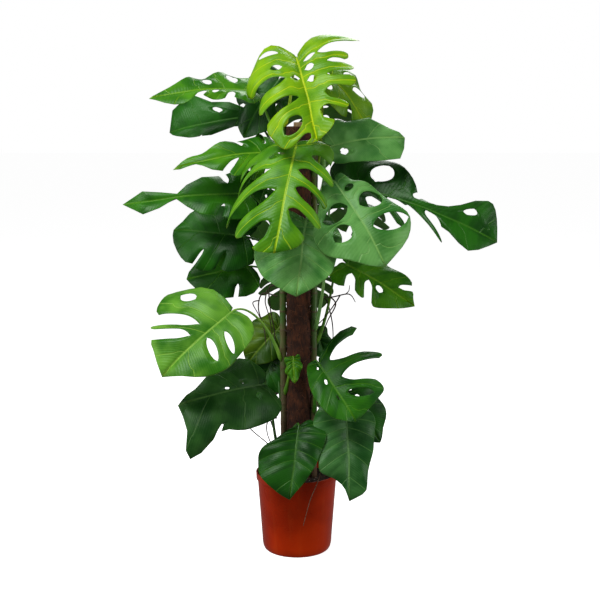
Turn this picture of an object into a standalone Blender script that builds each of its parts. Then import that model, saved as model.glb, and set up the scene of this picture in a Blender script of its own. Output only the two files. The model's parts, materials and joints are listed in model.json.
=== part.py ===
"""Potted monstera: a plastic nursery pot, soil, a coir climbing pole, three stems and their leaves.

Metres, +Z up. The origin is the middle of the pot's underside, and -Y is the front of the plant.
Each leaf is one solid: its blade, the midrib under it and its stalk grew as one piece.
"""
import math
from dataclasses import dataclass

import bmesh
import bpy
from mathutils import Vector

# Clearance between pieces that touch
TOUCH = 0.0003

# Pot
POT_HEIGHT = 0.235
POT_RIM_RADIUS = 0.1215
POT_SHOULDER_RADIUS = 0.1165
POT_LOWER_RADIUS = 0.103
POT_BASE_RADIUS = 0.094
POT_WALL = 0.0022
POT_SIDES = 32
POT_FLOOR = 0.003
RIM_BAND = 0.022
FOOT_HEIGHT = 0.030
DRAIN_RADIUS = 0.006
DRAIN_CIRCLE = 0.062
DRAIN_COUNT = 5

# Soil
SOIL_TOP = 0.212
SOIL_MOUND = 0.006

# Pole
POLE_X = 0.005
POLE_TOP = 1.245
POLE_FOOT = 0.020
CORE_RADIUS = 0.014
COIR_RADIUS = 0.033
COIR_FOOT = 0.150

# Stems
STEM_RADIUS = 0.0095
STEM_FOOT = 0.120
STEM_GAP = 0.0005
STEM_RING_STEP = 0.055
STEM_SWAY = 0.001
NODE_SWELL = 1.06
CUTTER_ROOM = 1.1        # an eight-sided hole whose flats still clear the round stem

# Leaves
BLADE_THICKNESS = 0.0008
RIB_HALF_WIDTH = 0.0028
RIB_DEPTH = 0.0030
STALK_TOP_RADIUS = 0.0030
STALK_FOOT_RADIUS = 0.0050
BLADE_ROWS = 4
PLAIN_LINES = 5
STALK_SIDES = 6
STALK_RINGS = 6

# Half of an uncut blade as (across, along), at even stations from the sinus beside the stalk
# round to the tip, and where the vein to each station leaves the midrib. In blade lengths.
HEART = ((0.035, -0.07), (0.20, -0.15), (0.40, -0.07), (0.50, 0.15), (0.47, 0.40), (0.36, 0.65),
         (0.18, 0.86), (0.0, 1.0))
VEINS = (0.0, 0.012, 0.03, 0.08, 0.18, 0.35, 0.62, 1.0)
LONG_VEINS = (0.0, 0.01, 0.03, 0.08, 0.15, 0.25, 0.36, 0.48, 0.60, 0.78, 1.0)


def smooth(stations, place):
    """Value at place, 0 to 1, of a smooth curve through evenly spaced stations."""
    last = len(stations) - 1
    spot = min(max(place, 0.0), 1.0) * last
    i = min(int(spot), last - 1)
    f = spot - i
    before = stations[max(i - 1, 0)]
    start = stations[i]
    end = stations[i + 1]
    after = stations[min(i + 2, last)]
    bend = (2 * before - 5 * start + 4 * end - after) * f * f
    bend += (3 * start - before - 3 * end + after) * f * f * f
    return start + 0.5 * ((end - before) * f + bend)


def slits(count, inner, half, first=0.24, last=0.80):
    """Evenly spaced open slits, from inner (0 at the midrib, 1 at the edge) out to the edge."""
    step = (last - first) / max(count - 1, 1)
    return tuple((first + step * i, inner, 1.0, half) for i in range(count))


@dataclass
class Leaf:
    """One leaf: where its blade starts and ends, how it hangs, and how its edge is cut.

    A cut is (place round the edge, inner end, outer end, half width), all as parts of the blade.
    Right and left are the blade's own, looking along the midrib to the tip on its upper face.
    Each half has its own outline where it isn't the plain heart shape, and roll is how much
    harder the left half curls than the right.
    """
    name: str
    foot: tuple
    tip: tuple
    face: tuple
    wide: float = 0.9
    sag: float = 0.5
    fold: float = 0.25
    curl: float = 0.7
    roll: float = 1.0
    right: tuple = ()
    left: tuple = ()
    right_edge: tuple = HEART
    left_edge: tuple = HEART
    veins: tuple = VEINS
    stem: str = "left"
    height: float = 0.5
    tone: str = "mid"


FOUR = slits(4, 0.40, 0.018)
THREE = slits(3, 0.40, 0.022, 0.30, 0.76)

LEAVES = (
    Leaf("leaf_crown", (0.0, -0.05, 1.43), (0.055, -0.2, 1.21), (0.0, -0.8, 0.6),
         wide=1.3, sag=0.5, fold=0.55, curl=1.9, roll=0.55, veins=LONG_VEINS,
         right_edge=((0.03, -0.06), (0.16, -0.2), (0.32, -0.18), (0.46, -0.06), (0.55, 0.1), (0.5, 0.28),
                     (0.44, 0.44), (0.42, 0.64), (0.38, 0.84), (0.26, 1.02), (0.0, 1.0)),
         left_edge=((0.03, -0.06), (0.2, -0.22), (0.53, -0.18), (0.5, -0.06), (0.41, 0.1), (0.41, 0.26),
                    (0.39, 0.42), (0.37, 0.58), (0.28, 0.74), (0.15, 0.9), (0.0, 1.0)),
         right=((0.54, 0.3, 1.0, 0.045), (0.72, 0.18, 1.0, 0.035), (0.94, 0.3, 1.0, 0.015)),
         left=((0.34, 0.36, 1.0, 0.045), (0.46, 0.55, 1.0, 0.02), (0.58, 0.5, 1.0, 0.02),
               (0.72, 0.4, 1.0, 0.045), (0.84, 0.35, 1.0, 0.035)),
         stem="left", height=1.256, tone="young"),
    Leaf("leaf_crown_left", (-0.05, 0.06, 1.375), (-0.155, 0.06, 1.21), (-0.35, -0.85, 0.35),
         wide=1.0, sag=0.6, right=((0.75, 0.6, 1.0, 0.02),), left=((0.6, 0.5, 1.0, 0.02),), stem="back",
         height=1.13, tone="dark"),
    Leaf("leaf_crown_right", (0.095, 0.08, 1.385), (0.21, 0.07, 1.225), (0.5, -0.65, 0.55),
         wide=0.85, sag=0.6, right=((0.74, 0.4, 1.0, 0.02),), stem="right", height=1.12, tone="young"),
    Leaf("leaf_upper_left", (-0.14, 0.0, 1.345), (-0.405, -0.08, 1.32), (0.05, -0.6, 0.8),
         wide=1.0, sag=0.5, curl=0.9, veins=LONG_VEINS,
         right_edge=((0.03, -0.05), (0.12, -0.12), (0.2, -0.05), (0.24, 0.08), (0.24, 0.2), (0.21, 0.32),
                     (0.18, 0.42), (0.17, 0.52), (0.16, 0.62), (0.09, 0.82), (0.0, 1.0)),
         left_edge=((0.03, -0.05), (0.12, -0.12), (0.2, -0.02), (0.22, 0.1), (0.2, 0.25), (0.16, 0.38),
                    (0.14, 0.48), (0.17, 0.6), (0.18, 0.7), (0.13, 0.86), (0.0, 1.0)),
         left=((0.4, 0.4, 1.0, 0.03), (0.66, 0.35, 1.0, 0.04)), stem="left", height=1.2, tone="fresh"),
    Leaf("leaf_upper_left_low", (-0.15, 0.09, 1.27), (-0.375, 0.13, 1.225), (-0.1, -0.9, 0.4),
         wide=1.0, sag=0.5, veins=LONG_VEINS,
         right_edge=((0.03, -0.05), (0.08, -0.08), (0.12, -0.02), (0.18, 0.1), (0.22, 0.25), (0.27, 0.38),
                     (0.33, 0.5), (0.38, 0.62), (0.4, 0.75), (0.32, 0.89), (0.0, 1.0)),
         left_edge=((0.03, -0.05), (0.08, -0.08), (0.13, 0.0), (0.13, 0.15), (0.13, 0.3), (0.18, 0.45),
                    (0.2, 0.58), (0.15, 0.7), (0.12, 0.81), (0.08, 0.92), (0.0, 1.0)),
         stem="back", height=1.05, tone="dark"),
    Leaf("leaf_left_high", (-0.06, -0.02, 1.17), (-0.34, -0.085, 1.125), (-0.1, -0.7, 0.7),
         wide=1.0, sag=0.7, curl=0.9, veins=LONG_VEINS,
         right_edge=((0.03, -0.05), (0.12, -0.1), (0.19, 0.0), (0.2, 0.12), (0.2, 0.25), (0.18, 0.4),
                     (0.15, 0.52), (0.12, 0.65), (0.09, 0.76), (0.05, 0.88), (0.0, 1.0)),
         left_edge=((0.03, -0.05), (0.16, -0.1), (0.28, 0.0), (0.34, 0.15), (0.34, 0.32), (0.29, 0.48),
                    (0.2, 0.6), (0.09, 0.7), (0.05, 0.8), (0.03, 0.9), (0.0, 1.0)),
         right=((0.5, 0.3, 1.0, 0.02), (0.3, 0.4, 1.0, 0.015)),
         left=((0.32, 0.3, 1.0, 0.02), (0.45, 0.3, 1.0, 0.02), (0.57, 0.3, 1.0, 0.025)), stem="left",
         height=1.01, tone="fresh"),
    Leaf("leaf_left_tongue", (-0.15, 0.01, 1.055), (-0.49, -0.03, 1.025), (-0.1, -0.85, 0.5),
         wide=1.0, sag=0.4, veins=LONG_VEINS,
         right_edge=((0.03, -0.05), (0.12, -0.12), (0.2, -0.05), (0.21, 0.1), (0.18, 0.25), (0.14, 0.38),
                     (0.08, 0.49), (0.03, 0.57), (0.06, 0.7), (0.09, 0.84), (0.0, 1.0)),
         left_edge=((0.03, -0.05), (0.14, -0.1), (0.22, 0.0), (0.25, 0.12), (0.24, 0.25), (0.19, 0.37),
                    (0.11, 0.47), (0.03, 0.56), (0.08, 0.7), (0.12, 0.84), (0.0, 1.0)),
         right=((0.35, 0.45, 1.0, 0.02),), left=((0.4, 0.45, 1.0, 0.02),), stem="left", height=0.92,
         tone="mid"),
    Leaf("leaf_left_dark", (-0.15, 0.06, 0.925), (-0.365, 0.1, 0.94), (-0.1, -0.9, 0.45),
         wide=1.0, sag=0.5, veins=LONG_VEINS,
         right_edge=((0.03, -0.07), (0.16, -0.14), (0.32, -0.1), (0.42, 0.06), (0.45, 0.22), (0.42, 0.38),
                     (0.36, 0.54), (0.28, 0.68), (0.19, 0.81), (0.09, 0.92), (0.0, 1.0)),
         left_edge=((0.03, -0.07), (0.2, -0.15), (0.4, -0.08), (0.52, 0.1), (0.56, 0.28), (0.56, 0.46),
                    (0.52, 0.62), (0.44, 0.76), (0.32, 0.88), (0.16, 0.96), (0.0, 1.0)),
         left=((0.42, 0.45, 1.0, 0.02),), stem="back", height=0.8, tone="dark"),
    Leaf("leaf_left_shade", (-0.145, 0.11, 0.83), (-0.335, 0.14, 0.79), (-0.1, -0.95, 0.3),
         wide=0.95, sag=0.5, right=((0.45, 0.5, 1.0, 0.015),), left=((0.5, 0.5, 1.0, 0.02),), stem="back",
         height=0.7, tone="mid"),
    Leaf("leaf_front", (0.0, -0.14, 1.2), (-0.06, -0.3, 0.92), (-0.05, -0.87, 0.5),
         wide=1.0, sag=0.6, fold=0.15, curl=1.3, veins=LONG_VEINS,
         right_edge=((0.03, -0.04), (0.18, -0.02), (0.4, 0.14), (0.55, 0.34), (0.66, 0.54), (0.68, 0.68),
                     (0.62, 0.8), (0.5, 0.85), (0.36, 0.91), (0.2, 0.99), (0.0, 1.0)),
         left_edge=((0.03, -0.04), (0.18, -0.08), (0.31, -0.03), (0.37, 0.1), (0.38, 0.25), (0.38, 0.4),
                    (0.38, 0.55), (0.36, 0.68), (0.28, 0.8), (0.16, 0.93), (0.0, 1.0)),
         right=((0.33, 0.5, 1.0, 0.02), (0.62, 0.16, 1.0, 0.045)),
         left=((0.34, 0.4, 1.0, 0.02), (0.62, 0.18, 1.0, 0.03), (0.78, 0.16, 1.0, 0.025)), stem="left",
         height=1.08, tone="young"),
    Leaf("leaf_front_plain", (0.025, -0.15, 0.99), (0.0, -0.26, 0.8), (0.0, -0.85, 0.52),
         wide=1.0, sag=0.5, fold=0.12, curl=0.6, veins=LONG_VEINS,
         right_edge=((0.03, -0.05), (0.2, -0.15), (0.38, -0.08), (0.5, 0.1), (0.58, 0.3), (0.6, 0.48),
                     (0.56, 0.64), (0.46, 0.77), (0.3, 0.88), (0.15, 0.95), (0.0, 1.0)),
         left_edge=((0.03, -0.05), (0.2, -0.15), (0.36, -0.08), (0.44, 0.08), (0.46, 0.25), (0.45, 0.42),
                    (0.42, 0.58), (0.35, 0.72), (0.24, 0.84), (0.12, 0.93), (0.0, 1.0)),
         stem="right", height=0.84, tone="grey"),
    Leaf("leaf_upper_right", (0.1, -0.02, 1.19), (0.305, 0.0, 1.215), (0.1, -0.8, 0.6),
         wide=1.0, sag=0.5, veins=LONG_VEINS,
         right_edge=((0.03, -0.05), (0.12, -0.1), (0.24, -0.04), (0.32, 0.1), (0.34, 0.26), (0.34, 0.42),
                     (0.35, 0.58), (0.37, 0.74), (0.34, 0.88), (0.17, 0.95), (0.0, 1.0)),
         left_edge=((0.03, -0.05), (0.14, -0.12), (0.3, -0.06), (0.38, 0.1), (0.4, 0.26), (0.37, 0.42),
                    (0.31, 0.56), (0.23, 0.7), (0.15, 0.82), (0.07, 0.92), (0.0, 1.0)),
         stem="right", height=1.04, tone="grey"),
    Leaf("leaf_right_long", (0.12, 0.06, 1.075), (0.565, -0.06, 0.92), (0.1, -0.85, 0.55),
         wide=1.0, sag=0.8, curl=0.9, veins=LONG_VEINS,
         right_edge=((0.03, -0.05), (0.12, -0.1), (0.18, 0.0), (0.17, 0.12), (0.14, 0.24), (0.17, 0.48),
                     (0.03, 0.46), (0.18, 0.7), (0.08, 0.68), (0.15, 0.86), (0.0, 1.0)),
         left_edge=((0.03, -0.05), (0.1, -0.1), (0.18, -0.05), (0.22, 0.08), (0.23, 0.2), (0.2, 0.32),
                    (0.13, 0.43), (0.05, 0.53), (0.07, 0.68), (0.2, 0.88), (0.0, 1.0)),
         right=((0.45, 0.25, 1.0, 0.035), (0.55, 0.12, 1.0, 0.03), (0.645, 0.25, 1.0, 0.025),
                (0.76, 0.12, 1.0, 0.035)),
         left=((0.67, 0.5, 1.0, 0.02),), stem="back", height=0.95, tone="dark"),
    Leaf("leaf_right_front", (0.105, -0.1, 1.095), (0.24, -0.22, 0.875), (0.1, -0.85, 0.5),
         wide=1.0, sag=0.5, veins=LONG_VEINS,
         right_edge=((0.03, -0.05), (0.1, -0.06), (0.14, 0.0), (0.2, 0.08), (0.3, 0.2), (0.4, 0.34),
                     (0.48, 0.48), (0.46, 0.66), (0.31, 0.8), (0.16, 0.93), (0.0, 1.0)),
         left_edge=((0.03, -0.05), (0.08, -0.06), (0.12, 0.0), (0.16, 0.06), (0.2, 0.13), (0.27, 0.22),
                    (0.34, 0.34), (0.4, 0.5), (0.46, 0.66), (0.34, 0.84), (0.0, 1.0)),
         stem="right", height=0.67, tone="grey"),
    Leaf("leaf_right_low", (0.14, 0.02, 0.85), (0.34, -0.02, 0.735), (0.1, -0.85, 0.5),
         wide=1.0, sag=0.5, veins=LONG_VEINS,
         right_edge=((0.03, -0.05), (0.18, -0.12), (0.3, 0.0), (0.3, 0.14), (0.3, 0.28), (0.32, 0.4),
                     (0.33, 0.52), (0.3, 0.64), (0.21, 0.78), (0.1, 0.9), (0.0, 1.0)),
         left_edge=((0.03, -0.05), (0.15, -0.1), (0.25, 0.02), (0.28, 0.16), (0.28, 0.3), (0.26, 0.45),
                    (0.25, 0.6), (0.24, 0.75), (0.21, 0.9), (0.08, 0.93), (0.0, 1.0)),
         right=((0.36, 0.28, 1.0, 0.055), (0.575, 0.16, 1.0, 0.045)),
         left=((0.81, 0.38, 1.0, 0.03), (0.4, 0.4, 1.0, 0.015)), stem="right", height=0.63, tone="fresh"),
    Leaf("leaf_left_front", (-0.18, -0.14, 0.738), (-0.365, -0.24, 0.575), (-0.1, -0.85, 0.5),
         wide=1.0, sag=0.5, veins=LONG_VEINS,
         right_edge=((0.03, -0.04), (0.27, -0.05), (0.54, 0.02), (0.68, 0.2), (0.71, 0.38), (0.68, 0.57),
                     (0.52, 0.68), (0.41, 0.82), (0.3, 0.85), (0.15, 0.93), (0.0, 1.0)),
         left_edge=((0.03, -0.04), (0.2, -0.08), (0.33, 0.0), (0.4, 0.14), (0.43, 0.28), (0.44, 0.4),
                    (0.42, 0.52), (0.37, 0.64), (0.28, 0.76), (0.14, 0.88), (0.0, 1.0)),
         right=((0.555, 0.2, 1.0, 0.045), (0.675, 0.2, 1.0, 0.042)), stem="left", height=0.58,
         tone="fresh"),
    Leaf("leaf_left_low", (-0.1, -0.06, 0.51), (-0.33, -0.16, 0.475), (-0.1, -0.8, 0.6),
         wide=1.0, sag=0.5, curl=0.9, veins=LONG_VEINS,
         right_edge=((0.03, -0.05), (0.18, -0.12), (0.32, -0.03), (0.38, 0.12), (0.38, 0.28), (0.32, 0.44),
                     (0.24, 0.58), (0.17, 0.7), (0.11, 0.8), (0.06, 0.9), (0.0, 1.0)),
         left_edge=((0.03, -0.05), (0.22, -0.15), (0.38, -0.08), (0.47, 0.08), (0.49, 0.25), (0.48, 0.42),
                    (0.46, 0.62), (0.62, 0.9), (0.58, 1.12), (0.28, 1.0), (0.0, 1.0)),
         stem="left", height=0.28, tone="dark"),
    Leaf("leaf_left_inner", (-0.05, 0.07, 0.655), (-0.15, 0.05, 0.545), (-0.2, -0.9, 0.35),
         wide=0.95, sag=0.5, stem="back", height=0.5, tone="olive"),
    Leaf("leaf_pot_front", (0.005, -0.1, 0.395), (-0.02, -0.19, 0.21), (0.0, -0.9, 0.4),
         wide=1.0, sag=0.5, fold=0.3, veins=LONG_VEINS,
         right_edge=((0.03, -0.03), (0.1, 0.04), (0.2, 0.12), (0.32, 0.22), (0.44, 0.33), (0.52, 0.46),
                     (0.53, 0.58), (0.45, 0.72), (0.32, 0.84), (0.16, 0.94), (0.0, 1.0)),
         left_edge=((0.03, -0.05), (0.15, -0.12), (0.29, -0.08), (0.38, 0.05), (0.38, 0.2), (0.35, 0.35),
                    (0.3, 0.48), (0.24, 0.61), (0.17, 0.74), (0.09, 0.87), (0.0, 1.0)),
         stem="left", height=0.3, tone="mid"),
    Leaf("leaf_pot_right", (0.14, -0.06, 0.43), (0.15, -0.165, 0.197), (0.15, -0.9, 0.4),
         wide=1.0, sag=0.5, veins=LONG_VEINS,
         right_edge=((0.03, -0.05), (0.14, -0.1), (0.2, 0.02), (0.24, 0.15), (0.26, 0.28), (0.28, 0.42),
                     (0.32, 0.54), (0.32, 0.67), (0.16, 0.75), (0.06, 0.84), (0.0, 1.0)),
         left_edge=((0.03, -0.05), (0.15, -0.1), (0.27, 0.0), (0.33, 0.12), (0.32, 0.25), (0.28, 0.4),
                    (0.25, 0.52), (0.23, 0.65), (0.21, 0.78), (0.17, 0.91), (0.0, 1.0)),
         stem="right", height=0.3, tone="grey"),
    Leaf("leaf_right_fingers", (0.06, -0.08, 0.58), (0.165, -0.16, 0.43), (0.1, -0.85, 0.5),
         wide=1.0, sag=0.5, curl=0.5, veins=LONG_VEINS,
         right_edge=((0.04, -0.05), (0.12, -0.06), (0.2, 0.02), (0.27, 0.15), (0.32, 0.3), (0.34, 0.46),
                     (0.33, 0.62), (0.28, 0.75), (0.2, 0.86), (0.1, 0.95), (0.0, 1.0)),
         left_edge=((0.05, -0.05), (0.45, -0.25), (0.88, -0.28), (0.6, 0.02), (0.78, 0.22), (0.92, 0.36),
                    (0.72, 0.58), (0.62, 0.8), (0.42, 0.88), (0.18, 0.96), (0.0, 1.0)),
         left=((0.32, 0.25, 1.0, 0.075), (0.58, 0.22, 1.0, 0.06)), stem="right", height=0.42, tone="mid"),
    Leaf("leaf_right_shade", (0.145, 0.04, 0.47), (0.25, 0.02, 0.315), (0.3, -0.9, 0.2),
         wide=0.85, sag=0.5, right=THREE, stem="back", height=0.36, tone="dark"),
    Leaf("leaf_right_inner", (0.055, 0.09, 0.635), (0.085, 0.1, 0.545), (0.1, -0.95, 0.3),
         wide=0.8, sag=0.5, stem="back", height=0.54, tone="dark"),
    Leaf("leaf_pole_small", (-0.01, -0.052, 0.585), (-0.005, -0.075, 0.515), (-0.1, -0.9, 0.3),
         wide=0.7, sag=0.5, stem="left", height=0.48, tone="fresh"),
    Leaf("leaf_left_middle", (-0.095, 0.03, 1.19), (-0.175, 0.04, 1.1), (-0.2, -0.9, 0.4),
         wide=0.8, sag=0.4, left=THREE, stem="left", height=1.04, tone="fresh"),
    Leaf("leaf_left_centre", (-0.09, 0.05, 1.07), (-0.135, 0.055, 0.95), (-0.2, -0.9, 0.4),
         wide=0.85, sag=0.4, left=THREE, stem="left", height=0.88, tone="dark"),
    Leaf("leaf_low_inner", (-0.07, 0.06, 0.56), (-0.135, 0.06, 0.42), (-0.2, -0.9, 0.3),
         wide=0.95, sag=0.4, stem="left", height=0.43, tone="dark"),
    Leaf("leaf_back_high", (0.05, 0.15, 1.305), (0.085, 0.37, 1.1), (0.1, 0.7, 0.7),
         wide=0.9, sag=0.6, right=FOUR, left=FOUR, stem="back", height=1.18, tone="mid"),
    Leaf("leaf_back_left", (-0.1, 0.2, 1.005), (-0.23, 0.38, 0.81), (-0.4, 0.7, 0.6),
         wide=0.9, sag=0.6, right=FOUR, left=FOUR, stem="back", height=0.9, tone="mid"),
    Leaf("leaf_back_right", (0.12, 0.16, 1.015), (0.24, 0.36, 0.855), (0.4, 0.7, 0.6),
         wide=0.9, sag=0.6, right=FOUR, left=FOUR, stem="back", height=0.84, tone="mid"),
    Leaf("leaf_back_middle", (-0.005, 0.18, 0.78), (0.01, 0.38, 0.6), (0.0, 0.75, 0.6),
         wide=0.9, sag=0.6, right=FOUR, left=FOUR, stem="back", height=0.62, tone="dark"),
    Leaf("leaf_back_low", (-0.085, 0.15, 0.525), (-0.115, 0.35, 0.365), (-0.2, 0.8, 0.5),
         wide=0.85, sag=0.6, right=THREE, left=THREE, stem="back", height=0.38, tone="dark"),
    Leaf("leaf_back_foot", (0.085, 0.14, 0.435), (0.155, 0.33, 0.27), (0.3, 0.8, 0.5),
         wide=0.8, sag=0.6, stem="back", height=0.29, tone="mid"),
)

# Aerial roots: radius, and the points that each one hangs through from its stem
ROOTS = {
    "aerial_root_front": (0.0016, ((0.064, -0.012, 0.40), (0.084, -0.060, 0.36), (0.080, -0.105, 0.31),
                                   (0.062, -0.132, 0.25), (0.038, -0.138, 0.19), (0.018, -0.130, 0.11))),
    "aerial_root_right": (0.0015, ((0.066, 0.008, 0.748), (0.085, 0.020, 0.745), (0.101, 0.026, 0.690),
                                   (0.106, 0.024, 0.640), (0.102, 0.020, 0.600))),
    "aerial_root_right_long": (0.0015, ((0.066, -0.006, 0.760), (0.100, -0.004, 0.757),
                                        (0.150, 0.000, 0.765), (0.170, 0.006, 0.740))),
    "aerial_root_left": (0.0015, ((-0.056, 0.008, 0.790), (-0.080, 0.022, 0.780), (-0.078, 0.026, 0.720),
                                  (-0.066, 0.026, 0.650), (-0.064, 0.024, 0.600))),
    "aerial_root_left_far": (0.0015, ((-0.056, -0.006, 0.760), (-0.100, 0.006, 0.765), (-0.112, 0.016, 0.720),
                                      (-0.096, 0.016, 0.660), (-0.090, 0.012, 0.610))),
    "aerial_root_left_low": (0.0018, ((-0.056, 0.004, 0.470), (-0.085, 0.016, 0.450), (-0.080, 0.024, 0.390),
                                      (-0.062, 0.020, 0.330), (-0.058, 0.018, 0.270))),
    "aerial_root_back": (0.0018, ((0.012, 0.062, 0.900), (0.022, 0.090, 0.880), (0.030, 0.100, 0.760),
                                  (0.020, 0.095, 0.620), (0.024, 0.100, 0.480))),
}
ROOT_SIDES = 5
ROOT_RINGS = 8

TONES = {
    "young": (0.30, 0.46, 0.03),
    "fresh": (0.10, 0.28, 0.02),
    "mid": (0.03, 0.16, 0.02),
    "dark": (0.01, 0.07, 0.015),
    "olive": (0.09, 0.15, 0.01),
    "grey": (0.10, 0.21, 0.09),
}


def start_scene():
    for old in list(bpy.data.objects):
        bpy.data.objects.remove(old, do_unlink=True)


def plain_material(name, colour, roughness):
    material = bpy.data.materials.new(name)
    material.use_nodes = True
    shader = material.node_tree.nodes["Principled BSDF"]
    shader.inputs["Base Color"].default_value = (*colour, 1.0)
    shader.inputs["Roughness"].default_value = roughness
    return material


def add_piece(name, points, faces, material):
    """One object from points and faces, with its faces turned outward and smooth shading."""
    mesh = bpy.data.meshes.new(name)
    mesh.from_pydata([tuple(p) for p in points], [], faces)
    shape = bmesh.new()
    shape.from_mesh(mesh)
    bmesh.ops.recalc_face_normals(shape, faces=shape.faces)
    if shape.calc_volume(signed=True) < 0:
        bmesh.ops.reverse_faces(shape, faces=shape.faces)
    shape.to_mesh(mesh)
    shape.free()
    mesh.shade_smooth()
    mesh.set_sharp_from_angle(angle=math.radians(35))
    mesh.materials.append(material)
    piece = bpy.data.objects.new(name, mesh)
    bpy.context.collection.objects.link(piece)
    return piece


def turned(profile, sides, centre_x=0.0):
    """Points and faces of a closed profile of (radius, height) turned about a vertical axis."""
    points = []
    for s in range(sides):
        angle = 2 * math.pi * s / sides
        for radius, height in profile:
            points.append((centre_x + radius * math.cos(angle), radius * math.sin(angle), height))
    faces = []
    rings = len(profile)
    for s in range(sides):
        here = s * rings
        there = ((s + 1) % sides) * rings
        for i in range(rings):
            j = (i + 1) % rings
            faces.append((here + i, there + i, there + j, here + j))
    return points, faces


def round_bar(rings, sides, centre_x=0.0):
    """A vertical bar through rings of (radius, height), closed at both ends."""
    points = []
    for ring_radius, height in rings:
        for s in range(sides):
            angle = 2 * math.pi * s / sides
            points.append((centre_x + ring_radius * math.cos(angle),
                           ring_radius * math.sin(angle), height))
    faces = [tuple(range(sides)), tuple(range(len(points) - sides, len(points)))]
    faces += side_faces(len(rings), sides)
    return points, faces


def side_faces(rings, sides):
    """Quads between successive rings of points."""
    faces = []
    for k in range(rings - 1):
        for s in range(sides):
            t = (s + 1) % sides
            faces.append((k * sides + s, k * sides + t, (k + 1) * sides + t, (k + 1) * sides + s))
    return faces


def tube(path, radii, sides, start_side):
    """Points and faces of a capped tube along path; its rings keep their turn along the path."""
    rings = tube_rings(path, radii, sides, start_side)
    points = [p for ring in rings for p in ring]
    faces = [tuple(range(sides)), tuple(range(len(points) - sides, len(points)))]
    faces += side_faces(len(rings), sides)
    return points, faces


def tube_rings(path, radii, sides, start_side):
    """Rings round a path, the first with its first point half a step past start_side."""
    rings = []
    side = Vector(start_side)
    for k, centre in enumerate(path):
        ahead = path[min(k + 1, len(path) - 1)] - path[max(k - 1, 0)]
        ahead.normalize()
        side = (side - ahead * side.dot(ahead)).normalized()
        up = ahead.cross(side)
        ring = []
        for s in range(sides):
            angle = 2 * math.pi * (s + 0.5) / sides
            ring.append(centre + (side * math.cos(angle) + up * math.sin(angle)) * radii[k])
        rings.append(ring)
    return rings


# ---------------------------------------------------------------- pot, soil and pole

def pot_wall_radius(height):
    """Outer radius of the pot's wall at a height above its foot bend."""
    share = (height - FOOT_HEIGHT) / (POT_HEIGHT - RIM_BAND - FOOT_HEIGHT)
    return POT_LOWER_RADIUS + (POT_SHOULDER_RADIUS - POT_LOWER_RADIUS) * share


def make_pot():
    """The moulded cup: base, rounded foot, tapered wall and a thicker rim band."""
    band_low = POT_HEIGHT - RIM_BAND
    outer = [(POT_BASE_RADIUS, 0.0)]
    for i in range(1, 4):
        turn = math.pi / 2 * i / 4
        outer.append((POT_BASE_RADIUS + (POT_LOWER_RADIUS - POT_BASE_RADIUS) * math.sin(turn),
                      FOOT_HEIGHT * (1 - math.cos(turn))))
    outer += [(POT_LOWER_RADIUS, FOOT_HEIGHT), (POT_SHOULDER_RADIUS, band_low),
              (POT_RIM_RADIUS - 0.001, band_low + 0.003), (POT_RIM_RADIUS, POT_HEIGHT - 0.002),
              (POT_RIM_RADIUS - 0.001, POT_HEIGHT)]
    inner = [(POT_RIM_RADIUS - POT_WALL - 0.001, POT_HEIGHT),
             (POT_RIM_RADIUS - POT_WALL - 0.002, band_low + 0.003),
             (POT_SHOULDER_RADIUS - POT_WALL, band_low),
             (POT_LOWER_RADIUS - POT_WALL, FOOT_HEIGHT),
             (POT_LOWER_RADIUS - POT_WALL - 0.006, POT_FLOOR)]
    profile = outer + inner
    points, faces = round_bar(profile, POT_SIDES)
    pot = add_piece("nursery_pot", points, faces, plain_material("pot_plastic", (0.22, 0.02, 0.0), 0.35))
    for i in range(DRAIN_COUNT):
        angle = 2 * math.pi * i / DRAIN_COUNT
        cut_hole(pot, "drain_cutter_%d" % i, DRAIN_CIRCLE * math.cos(angle),
                 DRAIN_CIRCLE * math.sin(angle), DRAIN_RADIUS, -0.01, POT_FLOOR + 0.01, 8)
    return pot


def cut_hole(piece, name, x, y, radius, low, high, sides):
    """Cuts an upright round hole through a piece with a hidden guide."""
    points, faces = round_bar(((radius, low), (radius, high)), sides)
    points = [(px + x, py + y, pz) for px, py, pz in points]
    guide = add_piece(name, points, faces, piece.data.materials[0])
    guide.hide_render = True
    guide.display_type = "WIRE"
    cut = piece.modifiers.new(name, "BOOLEAN")
    cut.operation = "DIFFERENCE"
    cut.object = guide


def make_soil():
    """The soil ball fills the pot, with holes where the pole and the stems stand in it."""
    inside = POT_WALL + TOUCH
    band_low = POT_HEIGHT - RIM_BAND
    top_radius = pot_wall_radius(SOIL_TOP) - inside
    profile = [(POT_LOWER_RADIUS - inside - 0.006, POT_FLOOR + TOUCH),
               (POT_LOWER_RADIUS - inside, FOOT_HEIGHT),
               (top_radius, min(SOIL_TOP, band_low)),
               (top_radius * 0.7, SOIL_TOP + SOIL_MOUND * 0.6),
               (top_radius * 0.35, SOIL_TOP + SOIL_MOUND)]
    points, faces = round_bar(profile, POT_SIDES)
    soil = add_piece("potting_soil", points, faces, plain_material("soil", (0.03, 0.018, 0.01), 0.95))
    above = SOIL_TOP + 0.05
    cut_hole(soil, "pole_core_cutter", POLE_X, 0.0, CORE_RADIUS + TOUCH, POLE_FOOT - TOUCH, above, 16)
    cut_hole(soil, "coir_cutter", POLE_X, 0.0, COIR_RADIUS + TOUCH, COIR_FOOT - TOUCH, above, 24)
    for name in STEMS:
        x, y, top, lean = STEMS[name]
        cut_hole(soil, "stem_%s_cutter" % name, x, y, STEM_RADIUS * CUTTER_ROOM + TOUCH, STEM_FOOT - TOUCH, above, 8)
    return soil


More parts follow.
